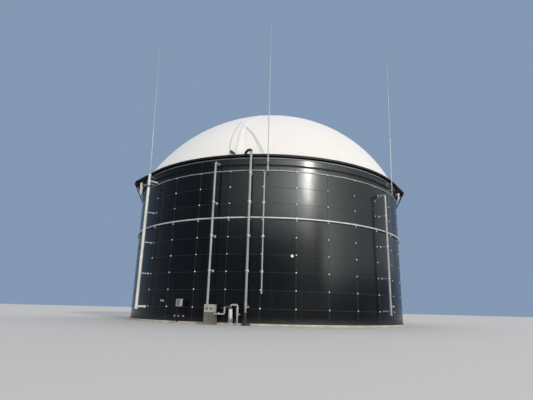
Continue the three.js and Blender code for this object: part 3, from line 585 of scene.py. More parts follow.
# Stiffeners: a dark rolled angle round the top tier, and a flat zinc-coated bar on the seam below it.
# The lengths of both meet under short bolted splice plates.
UPPER_LEVEL = 11.09
UPPER_SECTION = [
    (0.0145, -0.06), (0.0265, -0.06), (0.0285, 0.035), (0.0395, 0.044), (0.118, 0.046), (0.12, 0.05),
    (0.12, 0.058), (0.118, 0.06), (0.0145, 0.06),
]
LOWER_LEVEL = 10.72
SPLICE_OFFSET = 17.92
upper = Form()
lower = Form()
splices = Form()
upper.hoop(UPPER_SECTION, UPPER_LEVEL)
lower.hoop(flat_bar(0.045, 0.035, 0.003), LOWER_LEVEL)
for number in range(PLATES_AROUND):
    azimuth = seam_azimuth(number) + SPLICE_OFFSET
    place = on_wall(azimuth, 0, LOWER_LEVEL)
    splices.block((-0.205, 0.205), (-0.062, -0.046), (-0.034, 0.05), 0.004, place)
    face_bolts(splices, place, (-0.16, -0.055, 0.055, 0.16), 0.062, [0.008], 0.013)
    azimuth += 5
    place = on_wall(azimuth, 0, UPPER_LEVEL)
    upper.block((-0.21, 0.21), (-0.038, -0.026), (-0.058, 0.03), 0.003, place)
    upper.block((-0.21, 0.21), (-0.116, -0.03), (0.06, 0.07), 0.003, place)
    for across in (-0.16, -0.06, 0.06, 0.16):
        hex_bolt(upper, place @ at(across, -0.038, -0.02) @ OUTWARD)
        hex_bolt(upper, place @ at(across, -0.075, 0.07))
    for bolt in range(8):
        bolt_azimuth = azimuth + PLATE_ANGLE * (bolt + 0.7) / 8.4
        hex_bolt(upper, on_wall(bolt_azimuth, 0.0275, UPPER_LEVEL - 0.02) @ OUTWARD, 0.011)
upper.piece("upper_stiffener_angle", dark_paint, "dark_steel", "upper_stiffener")
lower.piece("lower_stiffener_bar", dull_zinc, "galvanised_steel", "lower_stiffener")
splices.piece("stiffener_splices", dull_zinc, "galvanised_steel")

# Wind girder: a bright zinc-coated pipe hoop at mid height, in socketed lengths.
# It rests on a welded saddle at each plate seam and is held by clamps between them.
HOOP_LEVEL = 7.22
HOOP_RADIUS = 0.057
HOOP_CENTRE = 0.115
CLAMPS_A_PLATE = 3
hoop = Form()
hoop.hoop(round_profile(HOOP_CENTRE, HOOP_RADIUS, 16), HOOP_LEVEL)
for number in range(PLATES_AROUND):
    seam = seam_azimuth(number)
    place = on_wall(seam, 0, HOOP_LEVEL)
    hoop.block((-0.006, 0.006), (-0.115, -0.016), (-0.15, -0.02), 0.002, place)
    hoop.block((-0.045, 0.045), (-0.024, -0.0145), (-0.17, 0.11), 0.003, place)
    hoop.block((-0.045, 0.045), (-0.15, -0.024), (-0.072, -0.056), 0.003, place)
    face_bolts(hoop, place, [0], 0.024, (-0.145, 0.085), 0.013)
    for clamp_number in range(CLAMPS_A_PLATE):
        azimuth = seam + PLATE_ANGLE * clamp_number / CLAMPS_A_PLATE
        half = 0.14 if clamp_number else 0.24
        sleeve = round_profile(HOOP_CENTRE, HOOP_RADIUS + 0.006, 16)
        hoop.hoop(sleeve, HOOP_LEVEL, 2, azimuth - half, azimuth + half)
        if clamp_number:
            place = on_wall(azimuth, 0, HOOP_LEVEL)
            hoop.block((-0.02, 0.02), (-0.1, -0.012), (-0.012, 0.012), 0.003, place)
hoop.piece("wind_girder_hoop", bright_zinc, "galvanised_steel", "wind_girder")

# Membrane roof: the outer skin of cream coated fabric, welded from gores and blown up to a cap.
# Its hem lies on the rim girder under a bolted zinc-coated bar, and its crown leans a little to the right.
DOME_FOOT_RADIUS = 12.15
DOME_RISE = 7.68
DOME_RADIUS = (DOME_FOOT_RADIUS**2 + DOME_RISE**2) / (2 * DOME_RISE)
DOME_FOOT_LEVEL = 11.99
DOME_CENTRE = DOME_FOOT_LEVEL + DOME_RISE - DOME_RADIUS
DOME_STEPS = 48
HEM_TOP = WALL_TOP + 0.0153
HEM_RADIUS = WALL_RADIUS + 0.15
LEAN_PER_RISE = 0.42 / DOME_RISE
FABRIC = 0.004
GORES = 24

membrane = Finish("cream_membrane", Sheen_Weight=0.1)
x, y, z = membrane.axes()
turn = x.math("ARCTAN2", y * -1)
span = (x * x + y * y).math("SQRT")
gore = (turn * (GORES / (2 * pi)) + 0.5).math("FRACT") - 0.5
weld = (gore.math("ABSOLUTE") * span * (2 * pi / GORES)).band(0.03, 0.024)
dust_flow = membrane.node("CombineXYZ", inputs={0: turn * 9, 1: z * 0.25})
streaks = membrane.noise(2.4, 6, dust_flow).band(0.48, 0.78)
cloud = membrane.noise(0.22, 4)
hem_dirt = (z + 0.5 * membrane.noise(3, 5)).band(12.74, 12.04)
cream = membrane.tint(cloud, (0.885, 0.825, 0.735), (0.84, 0.785, 0.705))
soiled = membrane.tint(streaks * 0.1 + hem_dirt * 0.16, cream, (0.5, 0.46, 0.4))
membrane.wear(
    Base_Color=membrane.tint(weld * 0.1, soiled, (0.62, 0.61, 0.59)),
    Roughness=0.5 + 0.12 * streaks,
    Normal=membrane.bump(weld * 0.5 + membrane.noise(1.1, 2) * 1.5, 0.004),
)


def meridian(height=0.0):
    """The dome's outline from the hem up to a small hole at the crown, as (radius, level)."""
    radius = DOME_RADIUS + height
    last = acos((HEM_TOP - DOME_CENTRE) / radius)
    turns = [last * step / DOME_STEPS for step in range(DOME_STEPS, -1, -1)]
    line = [(radius * sin(turn), DOME_CENTRE + radius * cos(turn)) for turn in turns]
    line[-1] = (0.02, line[-1][1])
    return line


hem = [(HEM_RADIUS, HEM_TOP - FABRIC), (HEM_RADIUS, HEM_TOP)]
skin = Form()
skin.hoop([*hem, *meridian(), *reversed(meridian(-FABRIC))], 0, 192, radius=0)
for point in skin.points:
    point.x += LEAN_PER_RISE * (point.z - HEM_TOP)
roof = skin.piece("membrane_roof_skin", membrane, "roof_membrane", "membrane_roof")

BAR_SECTION = [(0.02, 0.0003), (0.11, 0.0003), (0.11, 0.03), (0.107, 0.034), (0.023, 0.034), (0.02, 0.03)]
clamp_bar = bar_ring(BAR_SECTION, HEM_TOP, 0.02, 12, 0.065, 0.034, UPWARD)
clamp_bar.piece("clamp_ring_bars", dull_zinc, "galvanised_steel", "clamp_ring")

# Roof seams: doubled strips of the roof's fabric, welded in a pointed leaf round the duct's foot.
# They stand a few millimetres proud and have gone a little greyer than the skin.
LEFT_SEAM = [(-3.17, -11.56), (-3.27, -11.2), (-3.21, -10.54), (-3.03, -9.72), (-2.77, -8.81), (-2.6, -8.3)]
RIGHT_SEAM = [
    (-2.39, -9.27), (-2.07, -9.93), (-1.79, -10.42), (-1.53, -10.84), (-1.21, -11.48), (-0.9, -12.02),
]
STRIP = [(-0.06, 0.0005), (-0.048, 0.005), (0.048, 0.005), (0.06, 0.0005)]


def on_dome(x, y, height=0.0):
    radius = DOME_RADIUS + height
    level = HEM_TOP
    for _ in range(12):
        upright = x - LEAN_PER_RISE * (level - HEM_TOP)
        level = DOME_CENTRE + sqrt(radius**2 - upright**2 - y**2)
    return Vector((x, y, level))


def smooth_path(corners, steps):
    """Points on a Catmull-Rom curve through the corners."""
    ends = [corners[0], *corners, corners[-1]]
    path = []
    for i in range(len(corners) - 1):
        a, b, c, d = (Vector(p) for p in ends[i : i + 4])
        for step in range(steps):
            t = step / steps
            point = 2 * b + (c - a) * t + (2 * a - 5 * b + 4 * c - d) * t**2
            path.append(0.5 * (point + (3 * b - a - 3 * c + d) * t**3))
    return [*path, Vector(corners[-1])]


def crosswise(plan, i):
    """The way across a plan path at point i, to the right."""
    ahead = (plan[min(i + 1, len(plan) - 1)] - plan[max(i - 1, 0)]).normalized()
    return Vector((ahead.y, -ahead.x))


aged_membrane = Finish("aged_weld_fabric", Roughness=0.6)
aged = aged_membrane.tint(aged_membrane.noise(2.0, 5), (0.66, 0.64, 0.605), (0.56, 0.54, 0.51))
aged_membrane.wear(Base_Color=aged)
leaf = Form()
for seam in (LEFT_SEAM, RIGHT_SEAM):
    plan = smooth_path(seam, 8)
    rows = []
    for i, point in enumerate(plan):
        across = crosswise(plan, i)
        top = [on_dome(*(point + across * offset), rise) for offset, rise in STRIP]
        under = [on_dome(*(point + across * offset), -0.002) for offset, rise in reversed(STRIP)]
        rows.append([*top, *under])
    leaf.skin(rows)
leaf.piece("roof_leaf_seams", aged_membrane, "roof_membrane")

# Air duct: a fabric sleeve welded on the roof, which the blower's air keeps open as a low, wide ridge.
# It runs from the roof's foot, between the hoses, to near the crown, and gets narrower and flatter.
DUCT_RISE = 0.085
DUCT_PLAN = [
    (-2.63, -11.78), (-2.545, -11.05), (-2.47, -10.2), (-2.35, -9.45), (-2.09, -8.75), (-1.7, -7.85),
    (-1.23, -6.5), (-0.72, -4.5), (-0.26, -2.8),
]
FOOT_HALF = 0.33
HALF_LOST = 0.12
duct_plan = smooth_path(DUCT_PLAN, 9)
duct = Form()
rows = []
duct_length = 0
for i, point in enumerate(duct_plan):
    across = crosswise(duct_plan, i)
    share = i / (len(duct_plan) - 1)
    ripple = 1 + 0.03 * sin(i * 2.1)
    swell = min(1, 0.1 + share * 22) * (1 - share) * ripple
    rise = DUCT_RISE * max(swell, 0.05)
    half = FOOT_HALF - HALF_LOST * min(1, share * 2.5)
    offsets = [half * s / 8 for s in range(-8, 9)]
    heights = [0.006 + rise * cos(pi * o / (2 * half)) ** 2 for o in offsets]
    top = [on_dome(*(point + across * o), h) for o, h in zip(offsets, heights)]
    under = [on_dome(*(point + across * o), h - FABRIC) for o, h in zip(offsets, heights)]
    rows.append([*top, *reversed(under)])
    duct_length += (on_dome(*point) - on_dome(*duct_plan[max(i - 1, 0)])).length
duct.skin(rows)
sleeve = duct.piece("air_duct_sleeve", membrane, "roof_membrane", "air_duct")

# Lightning rods: six zinc-coated poles outside the rim, stepped down in four sizes of tube.
# Each stands in two clamps on short arms from the top tier. Two of them have been set leaning out.
ROD_STANDOFF = 0.4
ROD_FOOT = 10.49
ROD_ARMS = (10.9, 11.47)
ROD_STEPS = [(15.64, 0.038), (19.64, 0.025), (22.54, 0.013), (23.79, 0.008)]
RODS = [(-53.3, 1.5), (-1.7, 0), (52.75, 1.1), (135, 0), (178.3, 0), (225, 0)]


def sharp_ring(radius, height, edge):
    """The profile of a ring or a disc with broken edges, from height 0 up."""
    return [(radius - edge, 0), (radius, edge), (radius, height - edge), (radius - edge, height)]


def clamp(form, place, radius, height):
    """Two half rings round an upright pipe at the origin of its place, bolted together at their ears."""
    half = height / 2
    outside = radius + 0.007
    form.spun(sharp_ring(outside, height, 0.001), 20, place @ at(0, 0, -half))
    for side in (-1, 1):
        ear = sorted((side * (outside - 0.004), side * (outside + 0.03)))
        form.block(ear, (-0.008, 0.008), (-half, half), 0.002, place)
        hex_bolt(form, place @ at(side * (outside + 0.015), -0.008, 0) @ OUTWARD, 0.008)


def wall_arm(form, azimuth, standoff, radius, level, half=0.025):
    """A short channel from a bolted wall plate to a clamp round the pipe at this stand-off."""
    place = on_wall(azimuth, 0, level)
    form.block((-0.07, 0.07), (-0.026, -0.0145), (-0.08, 0.08), 0.003, place)
    web = (radius - standoff, -0.02)
    form.block((-half, half), web, (half - 0.008, half), 0.002, place)
    form.block((-half, half), web, (-half, 0.008 - half), 0.002, place)
    form.block((-0.004, 0.004), web, (-half, half), 0.002, place)
    face_bolts(form, place, (-0.05, 0.05), 0.026, (-0.06, 0.06), 0.011)
    clamp(form, place @ at(0, -standoff, 0), radius, 2 * half)


weathered_zinc = zinc("weathered_zinc", (0.42, 0.42, 0.415), (0.27, 0.275, 0.28), 0.5)
for number, (azimuth, lean) in enumerate(RODS, 1):
    rod = Form()
    place = on_wall(azimuth, ROD_STANDOFF, ROD_ARMS[0]) @ Matrix.Rotation(radians(lean), 4, "X")
    low = ROD_FOOT - ROD_ARMS[0]
    profile = [(0.034, low)]
    for top, radius in ROD_STEPS:
        high = top - ROD_ARMS[0]
        profile += [(radius, low + 0.012), (radius, high - 0.035)]
        profile += [(radius + 0.004, high - 0.03), (radius + 0.004, high - 0.004)]
        low = high
    profile[-2:] = [(0.006, high - 0.03), (0.001, high)]
    rod.spun(profile, 14, place)
    for level in ROD_ARMS:
        wall_arm(rod, azimuth, ROD_STANDOFF, 0.04, level)
    rod.piece(f"lightning_rod_{number}_pole", weathered_zinc, "galvanised_steel", f"lightning_rod_{number}")

# Blower plinth: a block of cast concrete along the wall, with the marks of its upright boards.
# It is olive grey, darker at its foot, and its arrises are chamfered.
PLINTH_AZIMUTH = -17.75
PLINTH_HALF = 0.365
PLINTH_FRONT = 0.85
PLINTH_BACK = 0.257
PLINTH_TOP = 0.786
PLINTH_CHAMFER = 0.012
BOARD_WIDTH = 0.11
BOARD_GROOVE = 0.005
plinth_concrete = cast_concrete("plinth_concrete", (0.19, 0.18, 0.138), (0.08, 0.076, 0.057), 0.2)
plinth_place = on_wall(PLINTH_AZIMUTH)
plinth_corners = [
    Vector((-PLINTH_HALF, -PLINTH_FRONT)), Vector((PLINTH_HALF, -PLINTH_FRONT)),
    Vector((PLINTH_HALF, -PLINTH_BACK)), Vector((-PLINTH_HALF, -PLINTH_BACK)),
]


def boarded_outline(corners, inset):
    """The outline of a block seen from above, nicked wherever two boards of its mould met."""
    outline = []
    for i, start in enumerate(corners):
        end = corners[(i + 1) % 4]
        length = (end - start).length
        along = (end - start).normalized()
        inward = Vector((-along.y, along.x))
        outline.append(start + along * PLINTH_CHAMFER + inward * inset)
        boards = max(2, round(length / BOARD_WIDTH))
        for board in range(1, boards):
            for step, depth in ((-0.004, 0), (0, BOARD_GROOVE), (0.004, 0)):
                outline.append(start + along * (length * board / boards + step) + inward * (inset + depth))
        outline.append(end - along * PLINTH_CHAMFER + inward * inset)
    return outline


plinth = Form()
rows = []
for level, inset in ((0, 0), (PLINTH_TOP - PLINTH_CHAMFER, 0), (PLINTH_TOP, PLINTH_CHAMFER)):
    rows.append([(*corner, level) for corner in boarded_outline(plinth_corners, inset)])
plinth.skin(rows, plinth_place)
plinth.piece("blower_plinth_cast", plinth_concrete, "concrete", "blower_plinth")

# Blower box: a folded sheet-steel housing in pale grey paint, with a lid that overhangs it.
# Its front is a screwed panel with two round intake guards. The blower's pipe leaves by the lid.
BOX_LEFT = -0.367
BOX_RIGHT = 0.317
BOX_FRONT = 0.79
BOX_BACK = 0.37
BOX_FOOT = PLINTH_TOP + 0.0003
BOX_TOP = 1.278
PANEL_LOW = BOX_FOOT + 0.03
PANEL_HIGH = BOX_TOP - 0.055
box_paint = Finish("pale_box_paint")
grime = box_paint.noise(6, 6, box_paint.stretched((1, 1, 0.25))).band(0.5, 0.78)
chips = box_paint.noise(31, 5).band(0.7, 0.75)
faded = box_paint.tint(grime * 0.65, (0.42, 0.41, 0.385), (0.2, 0.195, 0.17))
box_paint.wear(
    Base_Color=box_paint.tint(chips, faded, (0.16, 0.09, 0.05)),
    Roughness=0.45 + 0.3 * grime,
    Normal=box_paint.bump(box_paint.noise(60, 2), 0.0003),
)
box = Form()
for out, front, back, levels, chamfer in (
    (0, 0.006 - BOX_FRONT, -BOX_BACK, (BOX_FOOT, BOX_TOP - 0.03), 0.006),
    (0.02, -0.02 - BOX_FRONT, 0.02 - BOX_BACK, (BOX_TOP - 0.04, BOX_TOP), 0.008),
    (-0.025, -BOX_FRONT, 0.008 - BOX_FRONT, (PANEL_LOW, PANEL_HIGH), 0.002),
):
    box.block((BOX_LEFT - out, BOX_RIGHT + out), (front, back), levels, chamfer, plinth_place)
box.piece("blower_box_housing", box_paint, "painted_box", "blower_box")

guard_paint = Finish("grey_guard_paint", Roughness=0.6)
flaked = guard_paint.noise(14, 5).band(0.3, 0.7)
guard_paint.wear(Base_Color=guard_paint.tint(flaked, (0.3, 0.3, 0.27), (0.1, 0.1, 0.09)))
guards = Form()
screws_across = (BOX_LEFT + 0.04, (BOX_LEFT + BOX_RIGHT) / 2, BOX_RIGHT - 0.04)
face_bolts(guards, plinth_place, screws_across, BOX_FRONT, (PANEL_LOW + 0.015, PANEL_HIGH - 0.015), 0.006)
for across in (BOX_LEFT + 0.19, BOX_RIGHT - 0.19):
    spot = plinth_place @ at(across, -BOX_FRONT, (PANEL_LOW + PANEL_HIGH) / 2) @ OUTWARD
    guards.spun([(0.112, 0), (0.112, 0.004), (0.104, 0.006)], 32, spot)
    for ring_radius in (0.03, 0.055, 0.08, 0.103):
        ring = [(*point, 0.012) for point in circle(ring_radius, 28)]
        guards.pipe([*ring, ring[0]], 0.0028, 6, spot)
    for x, y in circle(0.106, 8, 0.5)[:4]:
        guards.pipe([(-x, -y, 0.009), (x, y, 0.009)], 0.003, 6, spot)
guards.piece("blower_intake_guards", guard_paint, "dark_steel")

# Wall pipes: off-white or weathered grey plastic in socketed lengths, clamped to zinc-coated arms by
# every second seam between tiers. Their bent ends go through the wall in bolted flanges.
ARM_LEVELS = (3.52, 5.92, 8.32)


def weathered_plastic(name, light, dark):
    """Pipe plastic with sooty runs, dark specks and mud splashed on its foot."""
    finish = Finish(name)
    soot = finish.noise(2.5, 6, finish.stretched((1, 1, 0.2))).band(0.42, 0.78)
    specks = finish.noise(19, 5).band(0.62, 0.75)
    foot_mud = (finish.axes()[2] + 0.6 * finish.noise(4, 5)).band(0.9, 0.2)
    spotted = finish.tint(specks * 0.3, finish.tint(soot * 0.7, light, dark), (0.2, 0.18, 0.15))
    muddy = finish.tint(foot_mud * 0.3, spotted, (0.26, 0.2, 0.14))
    return finish.wear(Base_Color=muddy, Roughness=0.45 + 0.25 * soot)


pipe_plastic = weathered_plastic("off_white_pipe", (0.66, 0.65, 0.59), (0.44, 0.43, 0.38))
grey_plastic = weathered_plastic("weathered_grey_pipe", (0.33, 0.33, 0.308), (0.2, 0.2, 0.183))


def bent_path(corners, bend, steps=7):
    """The corners of a pipe run, rounded to bends of one radius."""
    corners = [Vector(corner) for corner in corners]
    path = [corners[0]]
    for before, corner, after in zip(corners, corners[1:], corners[2:]):
        into = (corner - before).normalized()
        onward = (after - corner).normalized()
        turn = into.angle(onward)
        start = corner - into * bend * tan(turn / 2)
        inward = (onward - into * onward.dot(into)).normalized()
        for step in range(steps + 1):
            angle = turn * step / steps
            path.append(start + bend * (into * sin(angle) + inward * (1 - cos(angle))))
    return [*path, corners[-1]]


def socket(form, place, radius, length=0.12):
    """A moulded collar round a pipe, centred on the origin of its place and along its Z axis."""
    half = length / 2
    lip = radius + 0.008
    form.spun([(radius, -half), (lip, 0.006 - half), (lip, half - 0.014), (radius, half)], 20, place)


def flange(form, bolts, place, radius, thickness=0.024, count=8, size=0.009):
    """A round flange that stands on its place, with a circle of bolts in its face."""
    form.spun(sharp_ring(radius, thickness, 0.003), 28, place)
    for x, y in circle(0.84 * radius, count, 0.5):
        hex_bolt(bolts, place @ at(x, y, thickness), size)


fixings = Form()


def wall_pipe(
    node, finish, azimuth, standoff, radius, bottom, top, sockets, capped=False, legs=(), branch=None
):
    """A pipe up the wall with arms and sockets. It ends in a cap or bends through the wall.

    Each leg, a (radius, level), runs through the wall. The branch, a (radius, reach, level), runs right.
    """
    form = Form()
    upright = on_wall(azimuth)
    axis = on_wall(azimuth, standoff)

    def through_wall(level, size):
        flange(form, fixings, upright @ at(0, -PLATE_FACE, level) @ OUTWARD, 1.48 * size)

    if capped:
        form.pipe([(0, 0, bottom), (0, 0, top - 0.03)], radius, 20, axis)
        cap = [(0.006, -0.15), (0.006, -0.02), (-0.01, -0.004), (-0.04, 0)]
        form.spun([(radius + out, up) for out, up in cap], 24, axis @ at(0, 0, top))
    else:
        corners = [(0, -standoff, bottom), (0, -standoff, top), (0, -PLATE_FACE, top)]
        form.pipe(bent_path(corners, 1.4 * radius), radius, 20, upright)
        through_wall(top, radius)
    for level in (*sockets, bottom + 0.06):
        socket(form, axis @ at(0, 0, level), radius)
    for leg_radius, level in legs:
        form.pipe([(0, -standoff, level), (0, -PLATE_FACE, level)], leg_radius, 20, upright)
        socket(form, axis @ at(0, 0, level), radius, 3.2 * leg_radius)
        through_wall(level, leg_radius)
    if branch:
        branch_radius, reach, level = branch
        form.pipe([(0, 0, level), (reach, 0, level)], branch_radius, 20, axis)
        socket(form, axis @ at(0, 0, level), radius, 3.2 * branch_radius)
        flange(form, fixings, axis @ at(reach - 0.025, 0, level) @ SIDEWAYS, branch_radius + 0.02, 0.022)
    for level in ARM_LEVELS:
        wall_arm(fixings, azimuth, standoff, radius, level, 0.028)
    form.piece(f"{node}_run", finish, "white_pipe", node)


GAS_AZIMUTH = -50.1
GAS_STANDOFF = 0.712
wall_pipe(
    "gas_pipe", pipe_plastic, GAS_AZIMUTH, GAS_STANDOFF, radius=0.11, bottom=0.85, top=11.49,
    sockets=(4.7, 7.4, 10.1), capped=True, legs=[(0.08, 1.05), (0.065, 10.905)],
)
wall_pipe(
    "blower_pipe", grey_plastic, -18.9, 0.57, radius=0.075, bottom=BOX_TOP + 0.0003, top=11.275,
    sockets=(2.9, 6.9, 9.5),
)
wall_pipe("drain_pipe", grey_plastic, -2.7, 0.28, radius=0.048, bottom=2.03, top=10.53, sockets=(4.4, 7.7))
wall_pipe(
    "feed_pipe", grey_plastic, 44.15, 0.62, radius=0.082, bottom=0.84, top=9.98,
    sockets=(2.6, 5.2, 7.6), legs=[(0.05, 1.13)], branch=(0.06, 0.45, 1.48),
)
joint = on_wall(GAS_AZIMUTH, GAS_STANDOFF, 10.44)
dark_joint = Form()
for flip in (UPWARD, Matrix.Rotation(pi, 4, "X")):
    flange(dark_joint, dark_joint, joint @ flip @ at(0, 0, 0.003), 0.165, 0.026, 8, 0.011)
dark_joint.spun([(0.118, -0.06), (0.122, -0.055), (0.122, 0.055), (0.118, 0.06)], 24, joint)
dark_joint.piece("gas_pipe_joint", dark_paint, "dark_steel")

# Overflow pipe: a heavier upright that passes outside the rim. Near its foot it has a short branch
# and narrows to a flanged neck, which a dark cast-iron foot valve on a thick round base carries.
OVERFLOW_AZIMUTH = -7.25
OVERFLOW_STANDOFF = 0.4
OVERFLOW_RADIUS = 0.084
OVERFLOW_TOP = 11.97
NECK_FOOT = 0.83
NECK_RADIUS = 0.05
BRANCH_LEVEL = 1.17
stand_centre = on_wall(OVERFLOW_AZIMUTH, OVERFLOW_STANDOFF)
overflow = Form()
overflow.spun(
    [
        (NECK_RADIUS, NECK_FOOT + 0.02), (NECK_RADIUS, 1.0), (OVERFLOW_RADIUS, 1.065),
        (OVERFLOW_RADIUS, OVERFLOW_TOP - 0.003), (OVERFLOW_RADIUS - 0.003, OVERFLOW_TOP),
    ],
    24, stand_centre,
)
for level in (1.34, 4.3, 7.0, 9.6, OVERFLOW_TOP - 0.06):
    socket(overflow, stand_centre @ at(0, 0, level), OVERFLOW_RADIUS)
flange(overflow, fixings, stand_centre @ at(0, 0, NECK_FOOT), 0.088, 0.032, 6, 0.008)
overflow.pipe([(0, 0, BRANCH_LEVEL), (0.215, 0, BRANCH_LEVEL)], 0.052, 20, stand_centre)
branch_end = stand_centre @ at(0.15, 0, BRANCH_LEVEL) @ SIDEWAYS
overflow.spun([(0.054, 0), (0.06, 0.006), (0.06, 0.064), (0.056, 0.07)], 24, branch_end)
overflow.piece("overflow_pipe_run", grey_plastic, "white_pipe", "overflow_pipe")
for level in (*ARM_LEVELS, 10.45):
    wall_arm(fixings, OVERFLOW_AZIMUTH, OVERFLOW_STANDOFF, OVERFLOW_RADIUS, level, 0.028)
fixings.piece("pipe_arms_and_bolts", bright_zinc, "galvanised_steel")

rusted_iron = Finish("rusted_cast_iron")
rust = rusted_iron.noise(6, 6).band(0.4, 0.7)
rusted_iron.wear(
    Base_Color=rusted_iron.tint(rust, (0.014, 0.012, 0.013), (0.032, 0.02, 0.015)),
    Roughness=0.6 + 0.25 * rust,
    Normal=rusted_iron.bump(rusted_iron.noise(45, 4), 0.0012),
)
BODY = [
    (0.056, 0.13), (0.056, 0.5), (0.07, 0.525), (0.088, 0.55), (0.088, 0.67), (0.07, 0.695), (0.056, 0.72),
    (0.056, 0.8),
]
WEB = [(0.05, 0.13), (0.165, 0.13), (0.15, 0.17), (0.09, 0.4), (0.078, 0.48), (0.05, 0.48)]
SPINDLE = [(0.022, 0), (0.022, 0.11), (0.034, 0.118), (0.034, 0.13)]
stand = Form()
base_centre = stand_centre @ at(0.065, 0, 0)
stand.spun([(0.24, 0), (0.243, 0.004), (0.243, 0.128), (0.232, 0.14)], 36, base_centre)
stand.spun(BODY, 24, stand_centre)
flange(stand, stand, stand_centre @ at(0, 0, 0.797), 0.088, 0.0325, 0)
for number in range(4):
    web = [[(x, y, level) for x, level in WEB] for y in (-0.011, 0.011)]
    stand.skin(web, rotated(stand_centre, 45 + 90 * number))
for number in range(8):
    hex_bolt(stand, rotated(base_centre, 22.5 + 45 * number) @ at(0.205, 0, 0.14), 0.013)
stand.spun(SPINDLE, 16, stand_centre @ at(0, -0.07, 0.61) @ OUTWARD)
stand.block((-0.1, 0.1), (-0.208, -0.196), (0.598, 0.622), 0.004, stand_centre)
stand.piece("foot_valve", rusted_iron, "dark_steel", "valve_stand")

# Hoses: two short moulded bends of black ribbed rubber, clipped at both ends. The left one joins a
# collar on the roof's foot to the rim, and the right one ends on top of the overflow pipe.
RIM_HOSE_CENTRE = WALL_RADIUS + 0.238
OVERFLOW_CENTRE = WALL_RADIUS + OVERFLOW_STANDOFF
LEFT_HOSE = [
    (11.97, -15.1, 12.325), (12.05, -14.95, 12.3), (12.2, -14.5, 12.22), (12.33, -13.9, 12.11),
    (12.42, -13.35, 12.005), (RIM_HOSE_CENTRE, -13, 11.93), (RIM_HOSE_CENTRE, -12.93, WALL_TOP + 0.0003),
]
RIGHT_HOSE = [
    (12.065, -9.6, 12.03), (12.14, -9.5, 12.105), (12.24, -9.2, 12.172), (12.36, -8.7, 12.2),
    (12.5, -8, 12.198), (12.595, -7.5, 12.155), (OVERFLOW_CENTRE, OVERFLOW_AZIMUTH, 12.08),
    (OVERFLOW_CENTRE, OVERFLOW_AZIMUTH, OVERFLOW_TOP + 0.0003),
]
dark_rubber = Finish("black_rubber")
dust = dark_rubber.noise(5, 5).band(0.45, 0.8)
dark_rubber.wear(
    Base_Color=dark_rubber.tint(dust * 0.5, (0.012, 0.012, 0.013), (0.09, 0.085, 0.075)),
    Roughness=0.55 + 0.25 * dust,
    Normal=dark_rubber.bump(dark_rubber.noise(90, 2), 0.0004),
)


def around(radius, azimuth, level):
    turn = radians(azimuth)
    return (radius * sin(turn), -radius * cos(turn), level)


def facing(path, i):
    """A place on a path at point i, with Z along the path."""
    along = (path[i + 1] - path[i - 1]).normalized()
    return Matrix.Translation(path[i]) @ along.to_track_quat("Z", "Y").to_matrix().to_4x4()


clips = Form()
collars = Form()
for node, points, steps, radius in (("left_hose", LEFT_HOSE, 7, 0.086), ("right_hose", RIGHT_HOSE, 9, 0.097)):
    path = smooth_path([around(*point) for point in points], steps)
    ribs = [radius * (0.93 if i % 2 and 4 < i < len(path) - 5 else 1.0) for i in range(len(path))]
    hose = Form()
    hose.pipe(path, ribs, 24)
    hose.piece(f"{node}_bend", dark_rubber, "rubber_hose", node)
    for i in (3, len(path) - 3):
        clips.spun([(radius + 0.003, -0.01), (radius + 0.003, 0.01)], 24, facing(path, i))
    cuff = [(radius + 0.05, -0.03), (radius + 0.045, 0.0), (radius + 0.012, 0.012), (radius + 0.008, 0.045)]
    collars.spun(cuff, 28, facing(path, 1))
clips.piece("hose_clips", bright_zinc, "galvanised_steel")
collars.piece("hose_collars", dark_rubber, "rubber_hose")

# Condensate group: an off-white pot with a cone bottom on three thin legs. A pipe with a black
# ball valve feeds it from the plinth, and a siphon bend in a sleeve takes its water to the ground.
POT_X = -2.564
POT_Y = -12.476
POT = [
    (0.02, 0.35), (0.04, 0.36), (0.107, 0.5), (0.115, 0.53), (0.115, 0.74), (0.119, 0.745), (0.119, 0.765),
    (0.115, 0.77), (0.115, 0.981),
]
pot = Form()
group_bolts = Form()
pot_place = at(POT_X, POT_Y, 0)
pot.spun(POT, 28, pot_place)
flange(pot, group_bolts, pot_place @ at(0, 0, 0.98), 0.138, 0.03)
pot.piece("condensate_pot_vessel", pipe_plastic, "white_pipe", "condensate_pot")
for x, y in circle(0.125, 3, 0.25):
    leg = pot_place @ at(x, y, 0)
    group_bolts.spun([(0.018, 0.004), (0.018, 0.796), (0.015, 0.8)], 14, leg)
    group_bolts.block((-0.035, 0.035), (-0.035, 0.035), (0, 0.006), 0.002, leg)

TRANSFER_RADIUS = 0.046
RISER_X = -2.962
TEE_X = -3.33
LOW_RUN = 0.691
HIGH_RUN = 1.13
transfer = Form()
transfer_corners = [(-3.6, LOW_RUN), (RISER_X, LOW_RUN), (RISER_X, HIGH_RUN), (POT_X - 0.055, HIGH_RUN)]
transfer.pipe(bent_path([(x, POT_Y, z) for x, z in transfer_corners], 0.09), TRANSFER_RADIUS, 20)
face_place = on_wall(PLINTH_AZIMUTH, 0.757, LOW_RUN) @ at(PLINTH_HALF + 0.0003, 0, 0)
flange(transfer, group_bolts, face_place @ SIDEWAYS, 0.079, 0.02, 6, 0.008)
for x, z, axis, length in (
    (-3.1, LOW_RUN, SIDEWAYS, 0.08), (RISER_X, 0.83, UPWARD, 0.08), (RISER_X, 1.0, UPWARD, 0.08),
    (TEE_X, LOW_RUN, SIDEWAYS, 0.14),
):
    socket(transfer, at(x, POT_Y, z) @ axis, TRANSFER_RADIUS, length)
transfer.pipe([(TEE_X, POT_Y, LOW_RUN), (TEE_X, POT_Y, 0.79)], 0.03)
transfer.spun([(0.036, 0), (0.036, 0.03), (0.03, 0.036)], 16, at(TEE_X, POT_Y, 0.77))
transfer.piece("transfer_pipe_run", grey_plastic, "white_pipe", "transfer_pipe")

